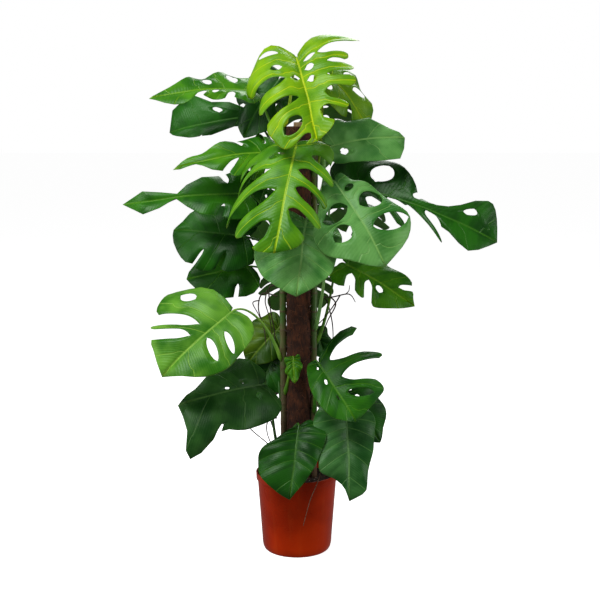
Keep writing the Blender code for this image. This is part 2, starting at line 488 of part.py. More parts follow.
def make_pole():
    """The round wooden core and the coir sleeve wrapped round it."""
    core_top = POLE_TOP + 0.012
    rings = ((CORE_RADIUS, POLE_FOOT), (CORE_RADIUS, core_top - 0.001), (CORE_RADIUS - 0.001, core_top))
    points, faces = round_bar(rings, 16, POLE_X)
    add_piece("pole_core", points, faces, plain_material("pole_wood", (0.30, 0.17, 0.08), 0.7))
    inner = CORE_RADIUS + TOUCH
    profile = [(inner, COIR_FOOT), (COIR_RADIUS, COIR_FOOT), (COIR_RADIUS, POLE_TOP), (inner, POLE_TOP)]
    points, faces = turned(profile, 24, POLE_X)
    add_piece("coir_sleeve", points, faces, plain_material("coir", (0.06, 0.018, 0.008), 0.95))


# ---------------------------------------------------------------- stems

# Each stem stands against the coir: its axis at the soil, its top, and where its sway starts
STEM_REACH = COIR_RADIUS + STEM_RADIUS * NODE_SWELL + STEM_GAP + STEM_SWAY
STEMS = {
    "left": (POLE_X - STEM_REACH, 0.0, 1.27, 0.3),
    "right": (POLE_X + STEM_REACH, 0.0, 1.20, 1.4),
    "back": (POLE_X, STEM_REACH, 1.22, 2.6),
}


def stem_axis(name, height):
    """The stem's axis at a height: upright in the soil, then swaying a little along the pole."""
    x, y, top, phase = STEMS[name]
    rise = max(height - SOIL_TOP - 0.03, 0.0)
    sway = STEM_SWAY * math.sin(9.0 * rise + phase) * min(rise / 0.1, 1.0)
    along_x = 1.0 if abs(y) < 0.01 else 0.0
    return Vector((x + sway * along_x, y + sway * (1 - along_x), height))


def make_stems():
    bark = plain_material("stem_bark", (0.05, 0.11, 0.02), 0.5)
    for name, (x, y, top, phase) in STEMS.items():
        count = round((top - SOIL_TOP) / STEM_RING_STEP)
        heights = [STEM_FOOT, SOIL_TOP + 0.02]
        heights += [SOIL_TOP + 0.02 + (top - SOIL_TOP - 0.02) * (i + 1) / count for i in range(count)]
        path = [stem_axis(name, h) for h in heights]
        radii = [STEM_RADIUS, STEM_RADIUS]
        radii += [STEM_RADIUS * (NODE_SWELL if i % 2 else 0.95) for i in range(count)]
        radii[-1] = STEM_RADIUS * 0.7
        points, faces = tube(path, radii, 8, (1, 0, 0))
        add_piece("stem_" + name, points, faces, bark)


# ---------------------------------------------------------------- leaves

def gap(cuts, place, v):
    """Half width of the opening on the cut line at place, v of the way out from the midrib."""
    wide = 0.0
    for at, inner, outer, half in cuts:
        if at != place or v <= inner or v >= outer and outer < 1.0:
            continue
        share = (v - inner) / (outer - inner)
        if outer >= 1.0:
            wide = max(wide, half * math.sin(math.pi / 2 * min(1.0, share * 2.0)))
        else:
            wide = max(wide, half * math.sin(math.pi * share) ** 0.7)
    return wide


def matched(cuts, count):
    """The cuts with closed lines added in the widest stretches, until there are count places."""
    places = sorted({c[0] for c in cuts})
    extra = list(cuts)
    while len(places) < count:
        ends = [0.0] + places + [1.0]
        widest = max(range(len(ends) - 1), key=lambda i: ends[i + 1] - ends[i])
        place = (ends[widest] + ends[widest + 1]) / 2
        extra.append((place, 1.0, 1.0, 0.0))
        places = sorted(places + [place])
    return extra, places


def flat_point(leaf, length, side, t, v):
    """A point of the flat blade: across and along, in metres."""
    edge = leaf.right_edge if side > 0 else leaf.left_edge
    root = smooth(leaf.veins, t)
    edge_across = smooth([across for across, along in edge], t) * leaf.wide
    edge_along = smooth([along for across, along in edge], t)
    rib = RIB_HALF_WIDTH * (1.05 - root)
    across = rib + (edge_across * length - rib) * v
    along = root + (edge_along - root) * v - 0.12 * v * (1 - v) * edge_across
    return side * max(across, 0.0), along * length


def leaf_frame(leaf):
    """Length of the blade along its midrib, and its axes: to the side, to the tip, and up."""
    foot = Vector(leaf.foot)
    chord = Vector(leaf.tip) - foot
    half = leaf.sag / 2
    length = chord.length * half / math.sin(half)
    ahead = chord.normalized()
    face = Vector(leaf.face)
    up = (face - ahead * face.dot(ahead)).normalized()
    along_axis = ahead * math.cos(half) + up * math.sin(half)
    up_axis = up * math.cos(half) - ahead * math.sin(half)
    return length, along_axis.cross(up_axis), along_axis, up_axis


def hang(leaf, length, axes, across, along, lift):
    """Where a flat point goes: rolled down from the midrib to each side, and bent along it."""
    side = 1.0 if across >= 0 else -1.0
    rate = leaf.curl * (1.0 if side > 0 else leaf.roll) / (0.5 * leaf.wide * length)
    lean = leaf.fold - rate * abs(across)
    x = (math.sin(leaf.fold) - math.sin(lean)) / rate
    h = (math.cos(lean) - math.cos(leaf.fold)) / rate
    x -= lift * math.sin(lean)
    h += lift * math.cos(lean)
    bend = leaf.sag / length
    nose = bend * along
    y = math.sin(nose) / bend + h * math.sin(nose)
    z = (math.cos(nose) - 1) / bend + h * math.cos(nose)
    side_axis, along_axis, up_axis = axes
    return Vector(leaf.foot) + side_axis * (side * x) + along_axis * y + up_axis * z


def stalk_path(leaf, length, axes):
    """The stalk's axis from the blade's foot down to the stem."""
    foot = Vector(leaf.foot)
    axis = stem_axis(leaf.stem, leaf.height)
    out = Vector((foot.x - axis.x, foot.y - axis.y, 0.0)).normalized()
    clear = STEM_RADIUS * NODE_SWELL + STALK_FOOT_RADIUS + 2 * TOUCH
    low = axis + out * clear
    reach = (foot - low).length
    bend_high = foot - axes[1] * min(0.05, reach * 0.25)
    bend_low = low + out * (0.22 * reach) + Vector((0, 0, 0.5 * reach))
    path = []
    for k in range(STALK_RINGS + 1):
        t = k / STALK_RINGS
        t = t * (0.55 + 0.45 * t)
        s = 1 - t
        path.append(foot * s ** 3 + bend_high * (3 * s * s * t) + bend_low * (3 * s * t * t) + low * t ** 3)
    return path


class Skin:
    """Collects the points of one blade by key, and the triangles between them.

    Both sides of the blade get the same triangles, so that they stay one thickness apart.
    """

    def __init__(self):
        self.index = {}
        self.flat = []
        self.depth = []
        self.faces = []

    def point(self, key, across, along, depth):
        if key not in self.index:
            self.index[key] = len(self.flat)
            self.flat.append((across, along))
            self.depth.append(depth)
        return self.index[key]

    def face(self, *corners):
        ring = [c for i, c in enumerate(corners) if c != corners[i - 1]]
        for k in range(1, len(ring) - 1):
            self.faces.append((ring[0], ring[k], ring[k + 1]))


def half_blade(skin, leaf, length, side, cuts, places, columns):
    """One half of the blade: a fan of strips between the cut lines. Returns its midrib points."""
    lines = [0.0] + places + [1.0]

    def corner(strip, column, row):
        v = row / BLADE_ROWS
        share = column / columns
        low = lines[strip] + gap(cuts, lines[strip], v)
        high = lines[strip + 1] - gap(cuts, lines[strip + 1], v)
        t = low + (high - low) * share
        if strip == len(lines) - 2 and column == columns:
            return skin.point("tip", 0.0, length, BLADE_THICKNESS)
        if column == 0:
            key = (side, "line", strip, row, low > lines[strip])
        elif column == columns:
            line = lines[strip + 1]
            key = (side, "line", strip + 1, row, "before" if high < line else False)
        else:
            key = (side, strip, column, row)
        across, along = flat_point(leaf, length, side, t, v)
        return skin.point(key, across, along, BLADE_THICKNESS)

    roots = []
    for strip in range(len(lines) - 1):
        for column in range(columns):
            for row in range(BLADE_ROWS):
                ring = (corner(strip, column, row), corner(strip, column + 1, row),
                        corner(strip, column + 1, row + 1), corner(strip, column, row + 1))
                skin.face(*(ring if side > 0 else ring[::-1]))
            roots.append(corner(strip, column, 0))
    roots.append(corner(len(lines) - 2, columns, 0))
    return roots


def make_leaf(leaf, material):
    """The blade with its midrib, and the stalk that runs on from it to the stem."""
    length, *axes = leaf_frame(leaf)
    count = max(len({c[0] for c in leaf.right}), len({c[0] for c in leaf.left})) or PLAIN_LINES
    skin = Skin()
    right = half_blade(skin, leaf, length, 1, *matched(leaf.right, count), 1)
    left = half_blade(skin, leaf, length, -1, *matched(leaf.left, count), 1)
    middle = []
    for k in range(len(right) - 1):
        along = (skin.flat[right[k]][1] + skin.flat[left[k]][1]) / 2
        depth = BLADE_THICKNESS + RIB_DEPTH * (1 - along / length)
        middle.append(skin.point(("middle", k), 0.0, along, depth))
    middle.append(right[-1])
    for k in range(len(middle) - 1):
        skin.face(middle[k], middle[k + 1], right[k + 1], right[k])
        skin.face(left[k], left[k + 1], middle[k + 1], middle[k])

    count = len(skin.flat)
    points = [hang(leaf, length, axes, a, b, 0.0) for a, b in skin.flat]
    points += [hang(leaf, length, axes, a, b, -d) for (a, b), d in zip(skin.flat, skin.depth)]
    faces = list(skin.faces)
    faces += [tuple(i + count for i in reversed(face)) for face in skin.faces]
    collar = (right[0], middle[0], left[0])
    used = {(face[i - 1], face[i]) for face in skin.faces for i in range(len(face))}
    for a, b in sorted(used):
        if (b, a) in used or a in collar and b in collar:
            continue
        faces.append((b, a, a + count, b + count))

    ring = [right[0], middle[0], left[0], left[0] + count, middle[0] + count, right[0] + count]
    path = stalk_path(leaf, length, axes)
    radii = [STALK_TOP_RADIUS + (STALK_FOOT_RADIUS - STALK_TOP_RADIUS) * (k / STALK_RINGS) ** 2
             for k in range(STALK_RINGS + 1)]
    for stalk_ring in tube_rings(path, radii, STALK_SIDES, axes[0])[1:]:
        first = len(points)
        points += stalk_ring
        new = list(range(first, first + STALK_SIDES))
        for s in range(STALK_SIDES):
            t = (s + 1) % STALK_SIDES
            faces.append((ring[s], ring[t], new[t], new[s]))
        ring = new
    faces.append(tuple(ring))
    return add_piece(leaf.name, points, faces, material)


def make_roots():
    cork = plain_material("root_cork", (0.10, 0.055, 0.03), 0.8)
    for name, (radius, stations) in ROOTS.items():
        path = []
        for k in range(ROOT_RINGS + 1):
            path.append(Vector(smooth([p[i] for p in stations], k / ROOT_RINGS) for i in range(3)))
        radii = [radius * (1.0 - 0.5 * (k / ROOT_RINGS) ** 3) for k in range(ROOT_RINGS + 1)]
        points, faces = tube(path, radii, ROOT_SIDES, (0.3, 1.0, 0.1))
        add_piece(name, points, faces, cork)


def make_leaves():
    tones = {name: plain_material("leaf_" + name, colour, 0.4) for name, colour in TONES.items()}
    for leaf in LEAVES:
        make_leaf(leaf, tones[leaf.tone])


def main():
    start_scene()
    make_pot()
    make_soil()
    make_pole()
    make_stems()
    make_roots()
    make_leaves()


main()
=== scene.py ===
"""The looks of a potted monstera that climbs a coir pole. Metres, +Z up, -Y is the front."""

import json
import math
import random
from dataclasses import dataclass

import bmesh
import bpy
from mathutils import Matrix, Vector, noise

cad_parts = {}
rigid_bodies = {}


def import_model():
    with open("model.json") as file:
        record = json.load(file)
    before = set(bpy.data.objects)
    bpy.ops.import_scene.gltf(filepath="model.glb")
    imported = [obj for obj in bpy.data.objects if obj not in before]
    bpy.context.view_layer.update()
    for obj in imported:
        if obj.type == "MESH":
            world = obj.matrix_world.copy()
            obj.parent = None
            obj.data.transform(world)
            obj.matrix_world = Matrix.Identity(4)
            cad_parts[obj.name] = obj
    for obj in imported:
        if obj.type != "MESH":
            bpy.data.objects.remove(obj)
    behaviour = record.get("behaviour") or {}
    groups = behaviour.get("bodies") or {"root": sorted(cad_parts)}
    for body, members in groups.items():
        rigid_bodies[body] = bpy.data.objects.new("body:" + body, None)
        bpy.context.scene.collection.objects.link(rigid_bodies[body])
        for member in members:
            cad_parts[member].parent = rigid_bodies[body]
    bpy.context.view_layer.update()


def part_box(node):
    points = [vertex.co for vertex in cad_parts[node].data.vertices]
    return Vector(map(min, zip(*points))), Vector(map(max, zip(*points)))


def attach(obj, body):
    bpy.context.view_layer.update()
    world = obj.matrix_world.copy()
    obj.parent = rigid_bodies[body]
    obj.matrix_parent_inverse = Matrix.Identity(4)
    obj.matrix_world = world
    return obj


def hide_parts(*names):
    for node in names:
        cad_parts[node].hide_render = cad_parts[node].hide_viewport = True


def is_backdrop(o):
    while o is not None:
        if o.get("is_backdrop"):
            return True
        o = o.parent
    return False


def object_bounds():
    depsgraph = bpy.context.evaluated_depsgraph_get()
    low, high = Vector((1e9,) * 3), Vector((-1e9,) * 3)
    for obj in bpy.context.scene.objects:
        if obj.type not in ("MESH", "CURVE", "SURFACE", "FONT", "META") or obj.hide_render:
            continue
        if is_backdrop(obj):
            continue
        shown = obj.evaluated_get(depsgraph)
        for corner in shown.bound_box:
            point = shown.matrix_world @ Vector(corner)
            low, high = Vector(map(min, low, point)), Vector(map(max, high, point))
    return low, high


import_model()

# ---------------------------------------------------------------- stage
# A white studio: a big pale floor under a white surround, a wide lamp over the front left,
# a tall soft lamp at each side, and one behind that lights the crown leaves through.

CAMERA_BACK = 3.3
CAMERA_HEIGHT = 1.30
CAMERA_ASIDE = 0.009
CAMERA_DOWN = math.radians(9.5)
CAMERA_LENS = 69.3
FLOOR_REACH = 30.0
FLOOR_DROP = 0.0002
SURROUND = 0.20

camera_data = bpy.data.cameras.new("camera")
camera_data.lens = CAMERA_LENS
camera = bpy.data.objects.new("camera", camera_data)
camera.location = (CAMERA_ASIDE, -CAMERA_BACK, CAMERA_HEIGHT)
camera.rotation_euler = (math.pi / 2 - CAMERA_DOWN, 0, 0)
bpy.context.collection.objects.link(camera)
bpy.context.scene.camera = camera
bpy.context.scene.view_settings.view_transform = "Standard"


def soft_lamp(name, place, aim, size, power):
    """A square or tall area lamp that faces a point."""
    data = bpy.data.lights.new(name, "AREA")
    data.shape = "RECTANGLE"
    data.size, data.size_y = size
    data.energy = power
    lamp = bpy.data.objects.new(name, data)
    lamp.location = place
    lamp.rotation_euler = (Vector(aim) - Vector(place)).to_track_quat("-Z", "Y").to_euler()
    bpy.context.collection.objects.link(lamp)


PLANT_MIDDLE = (0.0, 0.0, 0.85)
soft_lamp("lamp_over", (-1.1, -1.7, 3.3), PLANT_MIDDLE, (1.4, 1.4), 82)
soft_lamp("lamp_left", (-2.6, -0.9, 1.1), PLANT_MIDDLE, (0.7, 2.2), 26)
soft_lamp("lamp_right", (2.6, -0.9, 1.1), PLANT_MIDDLE, (0.7, 2.2), 26)
soft_lamp("lamp_behind", (0.6, 1.8, 2.9), (0.0, 0.0, 1.2), (1.4, 1.4), 40)

surround = bpy.data.worlds.new("surround")
surround.use_nodes = True
sky = surround.node_tree
lit = sky.nodes["Background"]
lit.inputs["Color"].default_value = (1.0, 1.0, 1.0, 1.0)
lit.inputs["Strength"].default_value = SURROUND
seen = sky.nodes.new("ShaderNodeBackground")
seen.inputs["Color"].default_value = (1.0, 1.0, 1.0, 1.0)
path_kind = sky.nodes.new("ShaderNodeLightPath")
either = sky.nodes.new("ShaderNodeMixShader")
sky.links.new(path_kind.outputs["Is Camera Ray"], either.inputs[0])
sky.links.new(lit.outputs[0], either.inputs[1])
sky.links.new(seen.outputs[0], either.inputs[2])
sky.links.new(either.outputs[0], sky.nodes["World Output"].inputs["Surface"])
bpy.context.scene.world = surround

floor_mesh = bpy.data.meshes.new("floor")
corners = [(-FLOOR_REACH, -FLOOR_REACH), (FLOOR_REACH, -FLOOR_REACH),
           (FLOOR_REACH, FLOOR_REACH), (-FLOOR_REACH, FLOOR_REACH)]
floor_mesh.from_pydata([(x, y, -FLOOR_DROP) for x, y in corners], [], [(0, 1, 2, 3)])
floor = bpy.data.objects.new("floor", floor_mesh)
bpy.context.collection.objects.link(floor)
floor_paint = bpy.data.materials.new("floor_paint")
floor_paint.use_nodes = True
floor_shader = floor_paint.node_tree.nodes["Principled BSDF"]
floor_shader.inputs["Base Color"].default_value = (0.92, 0.92, 0.92, 1.0)
floor_shader.inputs["Roughness"].default_value = 0.9
floor_shader.inputs["Specular IOR Level"].default_value = 0.1
floor_shader.inputs["Emission Color"].default_value = (1.0, 1.0, 1.0, 1.0)
floor_shader.inputs["Emission Strength"].default_value = 0.80
floor_mesh.materials.append(floor_paint)
floor.visible_diffuse = False
floor.visible_glossy = False
floor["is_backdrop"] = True

# ---------------------------------------------------------------- nursery pot
# A thin-walled cup moulded in brown-red polypropylene: a rolled rim band, a tapered wall that
# turns in to a flat foot, and five drain holes. Its satin skin shows handling scuffs and dust.

POT_WALL = 0.0022
POT_FLOOR = 0.003
RIM_BAND = 0.022
FOOT_HEIGHT = 0.030
FOOT_INSET = 0.009
POT_SIDES = 128
DRAIN_RADIUS = 0.006
DRAIN_CIRCLE = 0.062
DRAIN_COUNT = 5
POT_COLOUR = (0.52, 0.030, 0.001)
POT_DEEP = (0.33, 0.016, 0.001)
POT_DUST = (0.60, 0.12, 0.02)

pot_low, pot_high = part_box("nursery_pot")
RIM_RADIUS = (pot_high.x - pot_low.x) / 2
POT_HEIGHT = pot_high.z


class Wire:
    """A node's output that can be used in sums: 1 - mask adds the node that works it out."""

    def __init__(self, tree, socket=None):
        self.tree = tree
        self.socket = socket

    def node(self, kind, settings, sockets, output=0):
        """Adds a node: its settings first, then the values or links of its sockets."""
        made = self.tree.nodes.new(kind)
        for name, value in settings.items():
            setattr(made, name, value)
        for name, value in sockets.items():
            if isinstance(value, Wire):
                self.tree.links.new(value.socket, made.inputs[name])
            else:
                made.inputs[name].default_value = value
        return Wire(self.tree, made.outputs[output])

    def maths(self, operation, first, second):
        """Adds a Math node on two values or wires."""
        return self.node("ShaderNodeMath", {"operation": operation}, {0: first, 1: second})

    def __add__(self, other):
        return self.maths("ADD", self, other)

    __radd__ = __add__

    def __sub__(self, other):
        return self.maths("SUBTRACT", self, other)

    def __rsub__(self, other):
        return self.maths("SUBTRACT", other, self)

    def __mul__(self, other):
        return self.maths("MULTIPLY", self, other)

    __rmul__ = __mul__

    def ramp(self, start, end):
        """0 below start, 1 above end and smooth between them; the other way if start is above end."""
        return self.node("ShaderNodeMapRange", {"interpolation_type": "SMOOTHSTEP"},
                         {0: self, 1: start, 2: end})

    def blend(self, low, high):
        """The colour low where this is 0, and high where it is 1."""
        low, high = [c if isinstance(c, Wire) else (*c, 1.0) for c in (low, high)]
        return self.node("ShaderNodeMix", {"data_type": "RGBA"}, {0: self, 6: low, 7: high}, 2)

    def speckle(self, scale, detail=3.0, stretch=(1.0, 1.0, 1.0)):
        """Soft noise in object space, stretched along the axes; about 0.5 on average."""
        place = self.node("ShaderNodeTexCoord", {}, {}, "Object")
        place = self.node("ShaderNodeMapping", {}, {"Vector": place, "Scale": stretch})
        return self.node("ShaderNodeTexNoise", {}, {"Vector": place, "Scale": scale, "Detail": detail})

    def kept(self, name):
        """A number that the mesh holds at each point."""
        return self.node("ShaderNodeAttribute", {"attribute_name": name}, {}, "Fac")


def new_finish(name):
    """A material, its Principled shader, and a wire to grow its nodes from."""
    finish = bpy.data.materials.new(name)
    finish.use_nodes = True
    return finish, finish.node_tree.nodes["Principled BSDF"], Wire(finish.node_tree)


def connect(shader, wires, height=None, depth=0.001):
    """Links wires to the shader's inputs, and height to its surface through a Bump node."""
    tree = shader.id_data
    for name, wire in wires.items():
        tree.links.new(wire.socket, shader.inputs[name])
    if height is not None:
        bump = height.node("ShaderNodeBump", {}, {"Height": height, "Distance": depth})
        tree.links.new(bump.socket, shader.inputs["Normal"])


def add_mesh(name, points, faces, finishes, kinds=None):
    """A smooth-shaded object whose faces point out; kinds gives each face's finish."""
    mesh = bpy.data.meshes.new(name)
    mesh.from_pydata([tuple(p) for p in points], [], faces)
    for finish in finishes:
        mesh.materials.append(finish)
    if kinds:
        mesh.polygons.foreach_set("material_index", kinds)
    shape = bmesh.new()
    shape.from_mesh(mesh)
    bmesh.ops.recalc_face_normals(shape, faces=shape.faces)
    shape.to_mesh(mesh)
    shape.free()
    mesh.shade_smooth()
    piece = bpy.data.objects.new(name, mesh)
    bpy.context.collection.objects.link(piece)
    return piece


def keep_numbers(piece, name, values):
    """Stores a number at each point of a mesh, for its finish."""
    piece.data.attributes.new(name, "FLOAT", "POINT").data.foreach_set("value", values)


def turned(profile, sides, centre=(0.0, 0.0)):
    """Points and faces of a profile of (radius, height) turned about a vertical axis, with end caps."""
    points = []
    for s in range(sides):
        angle = 2 * math.pi * s / sides
        for radius, height in profile:
            points.append((centre[0] + radius * math.cos(angle),
                           centre[1] + radius * math.sin(angle), height))
    rings = len(profile)
    faces = []
    for s in range(sides):
        here = s * rings
        there = (s + 1) % sides * rings
        for i in range(rings - 1):
            faces.append((here + i, there + i, there + i + 1, here + i + 1))
    faces.append(tuple(s * rings for s in range(sides)))
    faces.append(tuple(s * rings + rings - 1 for s in range(sides)))
    return points, faces


def arc(centre, radii, start, end, steps):
    """Points of an arc of an ellipse in a profile, from the start angle to the end angle."""
    turns = [math.radians(start + (end - start) * i / steps) for i in range(steps + 1)]
    return [(centre[0] + radii[0] * math.cos(a), centre[1] + radii[1] * math.sin(a)) for a in turns]


shoulder = RIM_RADIUS - 0.005
lower_wall = RIM_RADIUS - 0.0185
band_low = POT_HEIGHT - RIM_BAND
foot = lower_wall - FOOT_INSET
profile = [(foot - 0.010, 0.0012), (foot - 0.007, 0.0)]
profile += arc((foot, FOOT_HEIGHT), (FOOT_INSET, FOOT_HEIGHT), -90, 0, 12)
profile += [(lower_wall + (shoulder - lower_wall) * i / 8, FOOT_HEIGHT + (band_low - FOOT_HEIGHT) * i / 8)
            for i in range(1, 9)]
profile += [(RIM_RADIUS - 0.0016, band_low + 0.0006), (RIM_RADIUS - 0.0010, band_low + 0.002),
            (RIM_RADIUS - 0.0004, POT_HEIGHT - 0.005)]
profile += arc((RIM_RADIUS - 0.0020, POT_HEIGHT - 0.002), (0.0020, 0.002), 0, 180, 10)
profile += [(RIM_RADIUS - POT_WALL - 0.002, band_low + 0.003), (shoulder - POT_WALL, band_low),
            (lower_wall - POT_WALL, FOOT_HEIGHT)]
profile += [(x - POT_WALL, z) for x, z in arc((foot, FOOT_HEIGHT), (FOOT_INSET, FOOT_HEIGHT - POT_FLOOR),
                                              0, -80, 8)]

pot_finish, pot_shader, grow = new_finish("pot_plastic")
cloud = grow.speckle(6.0)
streaks = grow.speckle(40.0, 2.0, (1.0, 1.0, 0.12)).ramp(0.5, 0.75)
scuffs = grow.speckle(160.0, 4.0, (1.0, 1.0, 0.3)).ramp(0.62, 0.78)
body_colour = cloud.ramp(0.35, 0.65).blend(POT_DEEP, POT_COLOUR)
connect(pot_shader, {"Base Color": (streaks * 0.10 + scuffs * 0.12).blend(body_colour, POT_DUST),
                     "Roughness": 0.24 + cloud * 0.08 + scuffs * 0.16},
        grow.speckle(700.0, 2.0) * 0.4 + streaks * 0.3, 0.0003)
pot_shader.inputs["Specular IOR Level"].default_value = 0.22
pot_shader.inputs["Specular Tint"].default_value = (1.0, 0.55, 0.35, 1.0)
pot = add_mesh("moulded_pot", *turned(profile, POT_SIDES), [pot_finish])


def round_bar(radius, low, high, sides, place):
    """Points and faces of an upright cylinder."""
    return turned([(radius, low), (radius, high)], sides, place)


for i in range(DRAIN_COUNT):
    turn = 2 * math.pi * i / DRAIN_COUNT
    spot = (DRAIN_CIRCLE * math.cos(turn), DRAIN_CIRCLE * math.sin(turn))
    drill = add_mesh("drill_%d" % i, *round_bar(DRAIN_RADIUS, -0.01, POT_FLOOR + 0.01, 24, spot), [])
    cut = pot.modifiers.new("drain_%d" % i, "BOOLEAN")
    cut.operation = "DIFFERENCE"
    cut.object = drill
drilled = bpy.data.meshes.new_from_object(pot.evaluated_get(bpy.context.evaluated_depsgraph_get()))
pot.modifiers.clear()
pot.data = drilled
for i in range(DRAIN_COUNT):
    bpy.data.objects.remove(bpy.data.objects["drill_%d" % i])
pot.data.set_sharp_from_angle(angle=math.radians(40))
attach(pot, "root")
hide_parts("nursery_pot")

# ---------------------------------------------------------------- potting soil
# Dark peat that fills the pot to a little under its rim, with bark and perlite crumbs on top.

SOIL_RINGS = 40
SOIL_SPOKES = 120
CRUMB_COUNT = 420
PERLITE_EVERY = 7
PEAT_DARK = (0.012, 0.007, 0.004)
PEAT_LIGHT = (0.060, 0.034, 0.018)
BARK = (0.110, 0.052, 0.022)
PERLITE = (0.62, 0.58, 0.50)

SOIL_MOUND = 0.005
soil_radius = shoulder - POT_WALL - 0.0006
soil_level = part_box("potting_soil")[1].z - 0.006


def soil_height(x, y):
    """The soil's surface: mounded toward the middle, with clods and pits."""
    away = math.hypot(x, y) / soil_radius
    lumps = noise.noise(Vector((x, y, 0.3)) * 55) * 0.0022 + noise.noise(Vector((x, y, 2.0)) * 160) * 0.0009
    return soil_level + SOIL_MOUND * (1 - away ** 2) + lumps * min(1.0, (1 - away) * 12)


points = [(0.0, 0.0, soil_height(0.0, 0.0))]
for r in range(1, SOIL_RINGS + 1):
    for s in range(SOIL_SPOKES):
        turn = 2 * math.pi * s / SOIL_SPOKES
        x, y = [soil_radius * r / SOIL_RINGS * f(turn) for f in (math.cos, math.sin)]
        points.append((x, y, soil_height(x, y)))
wall_foot = (lower_wall - POT_WALL - 0.0006, FOOT_HEIGHT), (foot - POT_WALL, POT_FLOOR + 0.0006)
for radius, height in wall_foot:
    for s in range(SOIL_SPOKES):
        turn = 2 * math.pi * s / SOIL_SPOKES
        points.append((radius * math.cos(turn), radius * math.sin(turn), height))
faces = [(0, 1 + s, 1 + (s + 1) % SOIL_SPOKES) for s in range(SOIL_SPOKES)]
for r in range(SOIL_RINGS + 1):
    here = 1 + r * SOIL_SPOKES
    for s in range(SOIL_SPOKES):
        t = (s + 1) % SOIL_SPOKES
        faces.append((here + s, here + SOIL_SPOKES + s, here + SOIL_SPOKES + t, here + t))
faces.append(tuple(range(len(points) - SOIL_SPOKES, len(points))))

peat_finish, peat_shader, grow = new_finish("peat")
clods = grow.speckle(90.0, 5.0)
grit = grow.speckle(500.0, 3.0)
connect(peat_shader, {"Base Color": (clods * 0.7 + grit * 0.5).ramp(0.45, 0.85).blend(PEAT_DARK, PEAT_LIGHT),
                      "Roughness": 0.85 + grit * 0.12}, clods * 0.7 + grit * 0.6, 0.003)
soil = add_mesh("peat_soil", points, faces, [peat_finish])
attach(soil, "root")
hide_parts("potting_soil")

CRUMB_CORNERS = ((1, 0, 0), (-1, 0, 0), (0, 1, 0), (0, -1, 0), (0, 0, 1), (0, 0, -1))
CRUMB_FACES = ((0, 2, 4), (2, 1, 4), (1, 3, 4), (3, 0, 4), (2, 0, 5), (1, 2, 5), (3, 1, 5), (0, 3, 5))
dice = random.Random(11)
points, faces, kinds = [], [], []
for i in range(CRUMB_COUNT):
    turn = dice.uniform(0, 2 * math.pi)
    away = (soil_radius - 0.004) * math.sqrt(dice.uniform(0.09, 1.0))
    x, y = away * math.cos(turn), away * math.sin(turn)
    size = dice.uniform(0.0012, 0.0036)
    flat = 0.7 if i % PERLITE_EVERY == 0 else 0.35
    first = len(points)
    for cx, cy, cz in CRUMB_CORNERS:
        rough = dice.uniform(0.7, 1.3) * size
        points.append((x + (cx * math.cos(turn * 3) - cy * math.sin(turn * 3)) * rough,
                       y + (cx * math.sin(turn * 3) + cy * math.cos(turn * 3)) * rough * 0.7,
                       soil_height(x, y) + cz * rough * flat))
    for corner in CRUMB_FACES:
        faces.append(tuple(first + c for c in corner))
        kinds.append(1 if i % PERLITE_EVERY == 0 else 0)
bark_finish, bark_shader, grow = new_finish("bark_crumb")
flecks = grow.speckle(300.0)
connect(bark_shader, {"Base Color": flecks.ramp(0.35, 0.65).blend(PEAT_LIGHT, BARK)}, flecks, 0.001)
bark_shader.inputs["Roughness"].default_value = 0.85
perlite_finish, perlite_shader, grow = new_finish("perlite_crumb")
pits = grow.speckle(900.0)
connect(perlite_shader, {"Base Color": pits.ramp(0.3, 0.6).blend(PEAT_LIGHT, PERLITE)}, pits, 0.001)
perlite_shader.inputs["Roughness"].default_value = 0.9
crumbs = add_mesh("soil_crumbs", points, faces, [bark_finish, perlite_finish], kinds)
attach(crumbs, "root")

# ---------------------------------------------------------------- climbing pole
# Coconut fibre wrapped round a wooden rod and bound with twine. The mat is matted and dark,
# and loose hairs curl out of it. The rod's sawn end stands out at the top.

COIR_SIDES = 72
COIR_RINGS = 260
COIR_FLUFF = 0.0020
FIBRE_COUNT = 2600
HAIR_COUNT = 260
TWINE_PITCH = 0.075
TWINE_RADIUS = 0.0009
COIR_DEEP = (0.026, 0.007, 0.002)
COIR_MID = (0.115, 0.032, 0.009)
COIR_PALE = (0.300, 0.110, 0.035)
ROD_PALE = (0.42, 0.27, 0.14)
ROD_DARK = (0.24, 0.13, 0.06)

coir_low, coir_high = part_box("coir_sleeve")
COIR_RADIUS = (coir_high.x - coir_low.x) / 2
POLE_X = (coir_high.x + coir_low.x) / 2
core_low, core_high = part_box("pole_core")
CORE_RADIUS = (core_high.x - core_low.x) / 2


def ring_faces(count, sides):
    """Two caps and the bands between rings of points, for count points in all."""
    faces = [tuple(range(sides)), tuple(range(count - sides, count))]
    for here in range(0, count - sides, sides):
        for s in range(sides):
            t = (s + 1) % sides
            faces.append((here + s, here + t, here + sides + t, here + sides + s))
    return faces


def tube(path, radii, sides, start_side=(0.3, 1.0, 0.1)):
    """Points and faces of a capped tube along a path."""
    points = []
    side = Vector(start_side)
    for k, centre in enumerate(path):
        ahead = (path[min(k + 1, len(path) - 1)] - path[max(k - 1, 0)]).normalized()
        side = (side - ahead * side.dot(ahead)).normalized()
        up = ahead.cross(side)
        for s in range(sides):
            angle = 2 * math.pi * (s + 0.5) / sides
            points.append(centre + (side * math.cos(angle) + up * math.sin(angle)) * radii[k])
    return points, ring_faces(len(points), sides)


def join_shape(points, faces, more):
    """Adds another shape's points and faces to a growing mesh."""
    first = len(points)
    points += more[0]
    faces += [tuple(first + c for c in face) for face in more[1]]


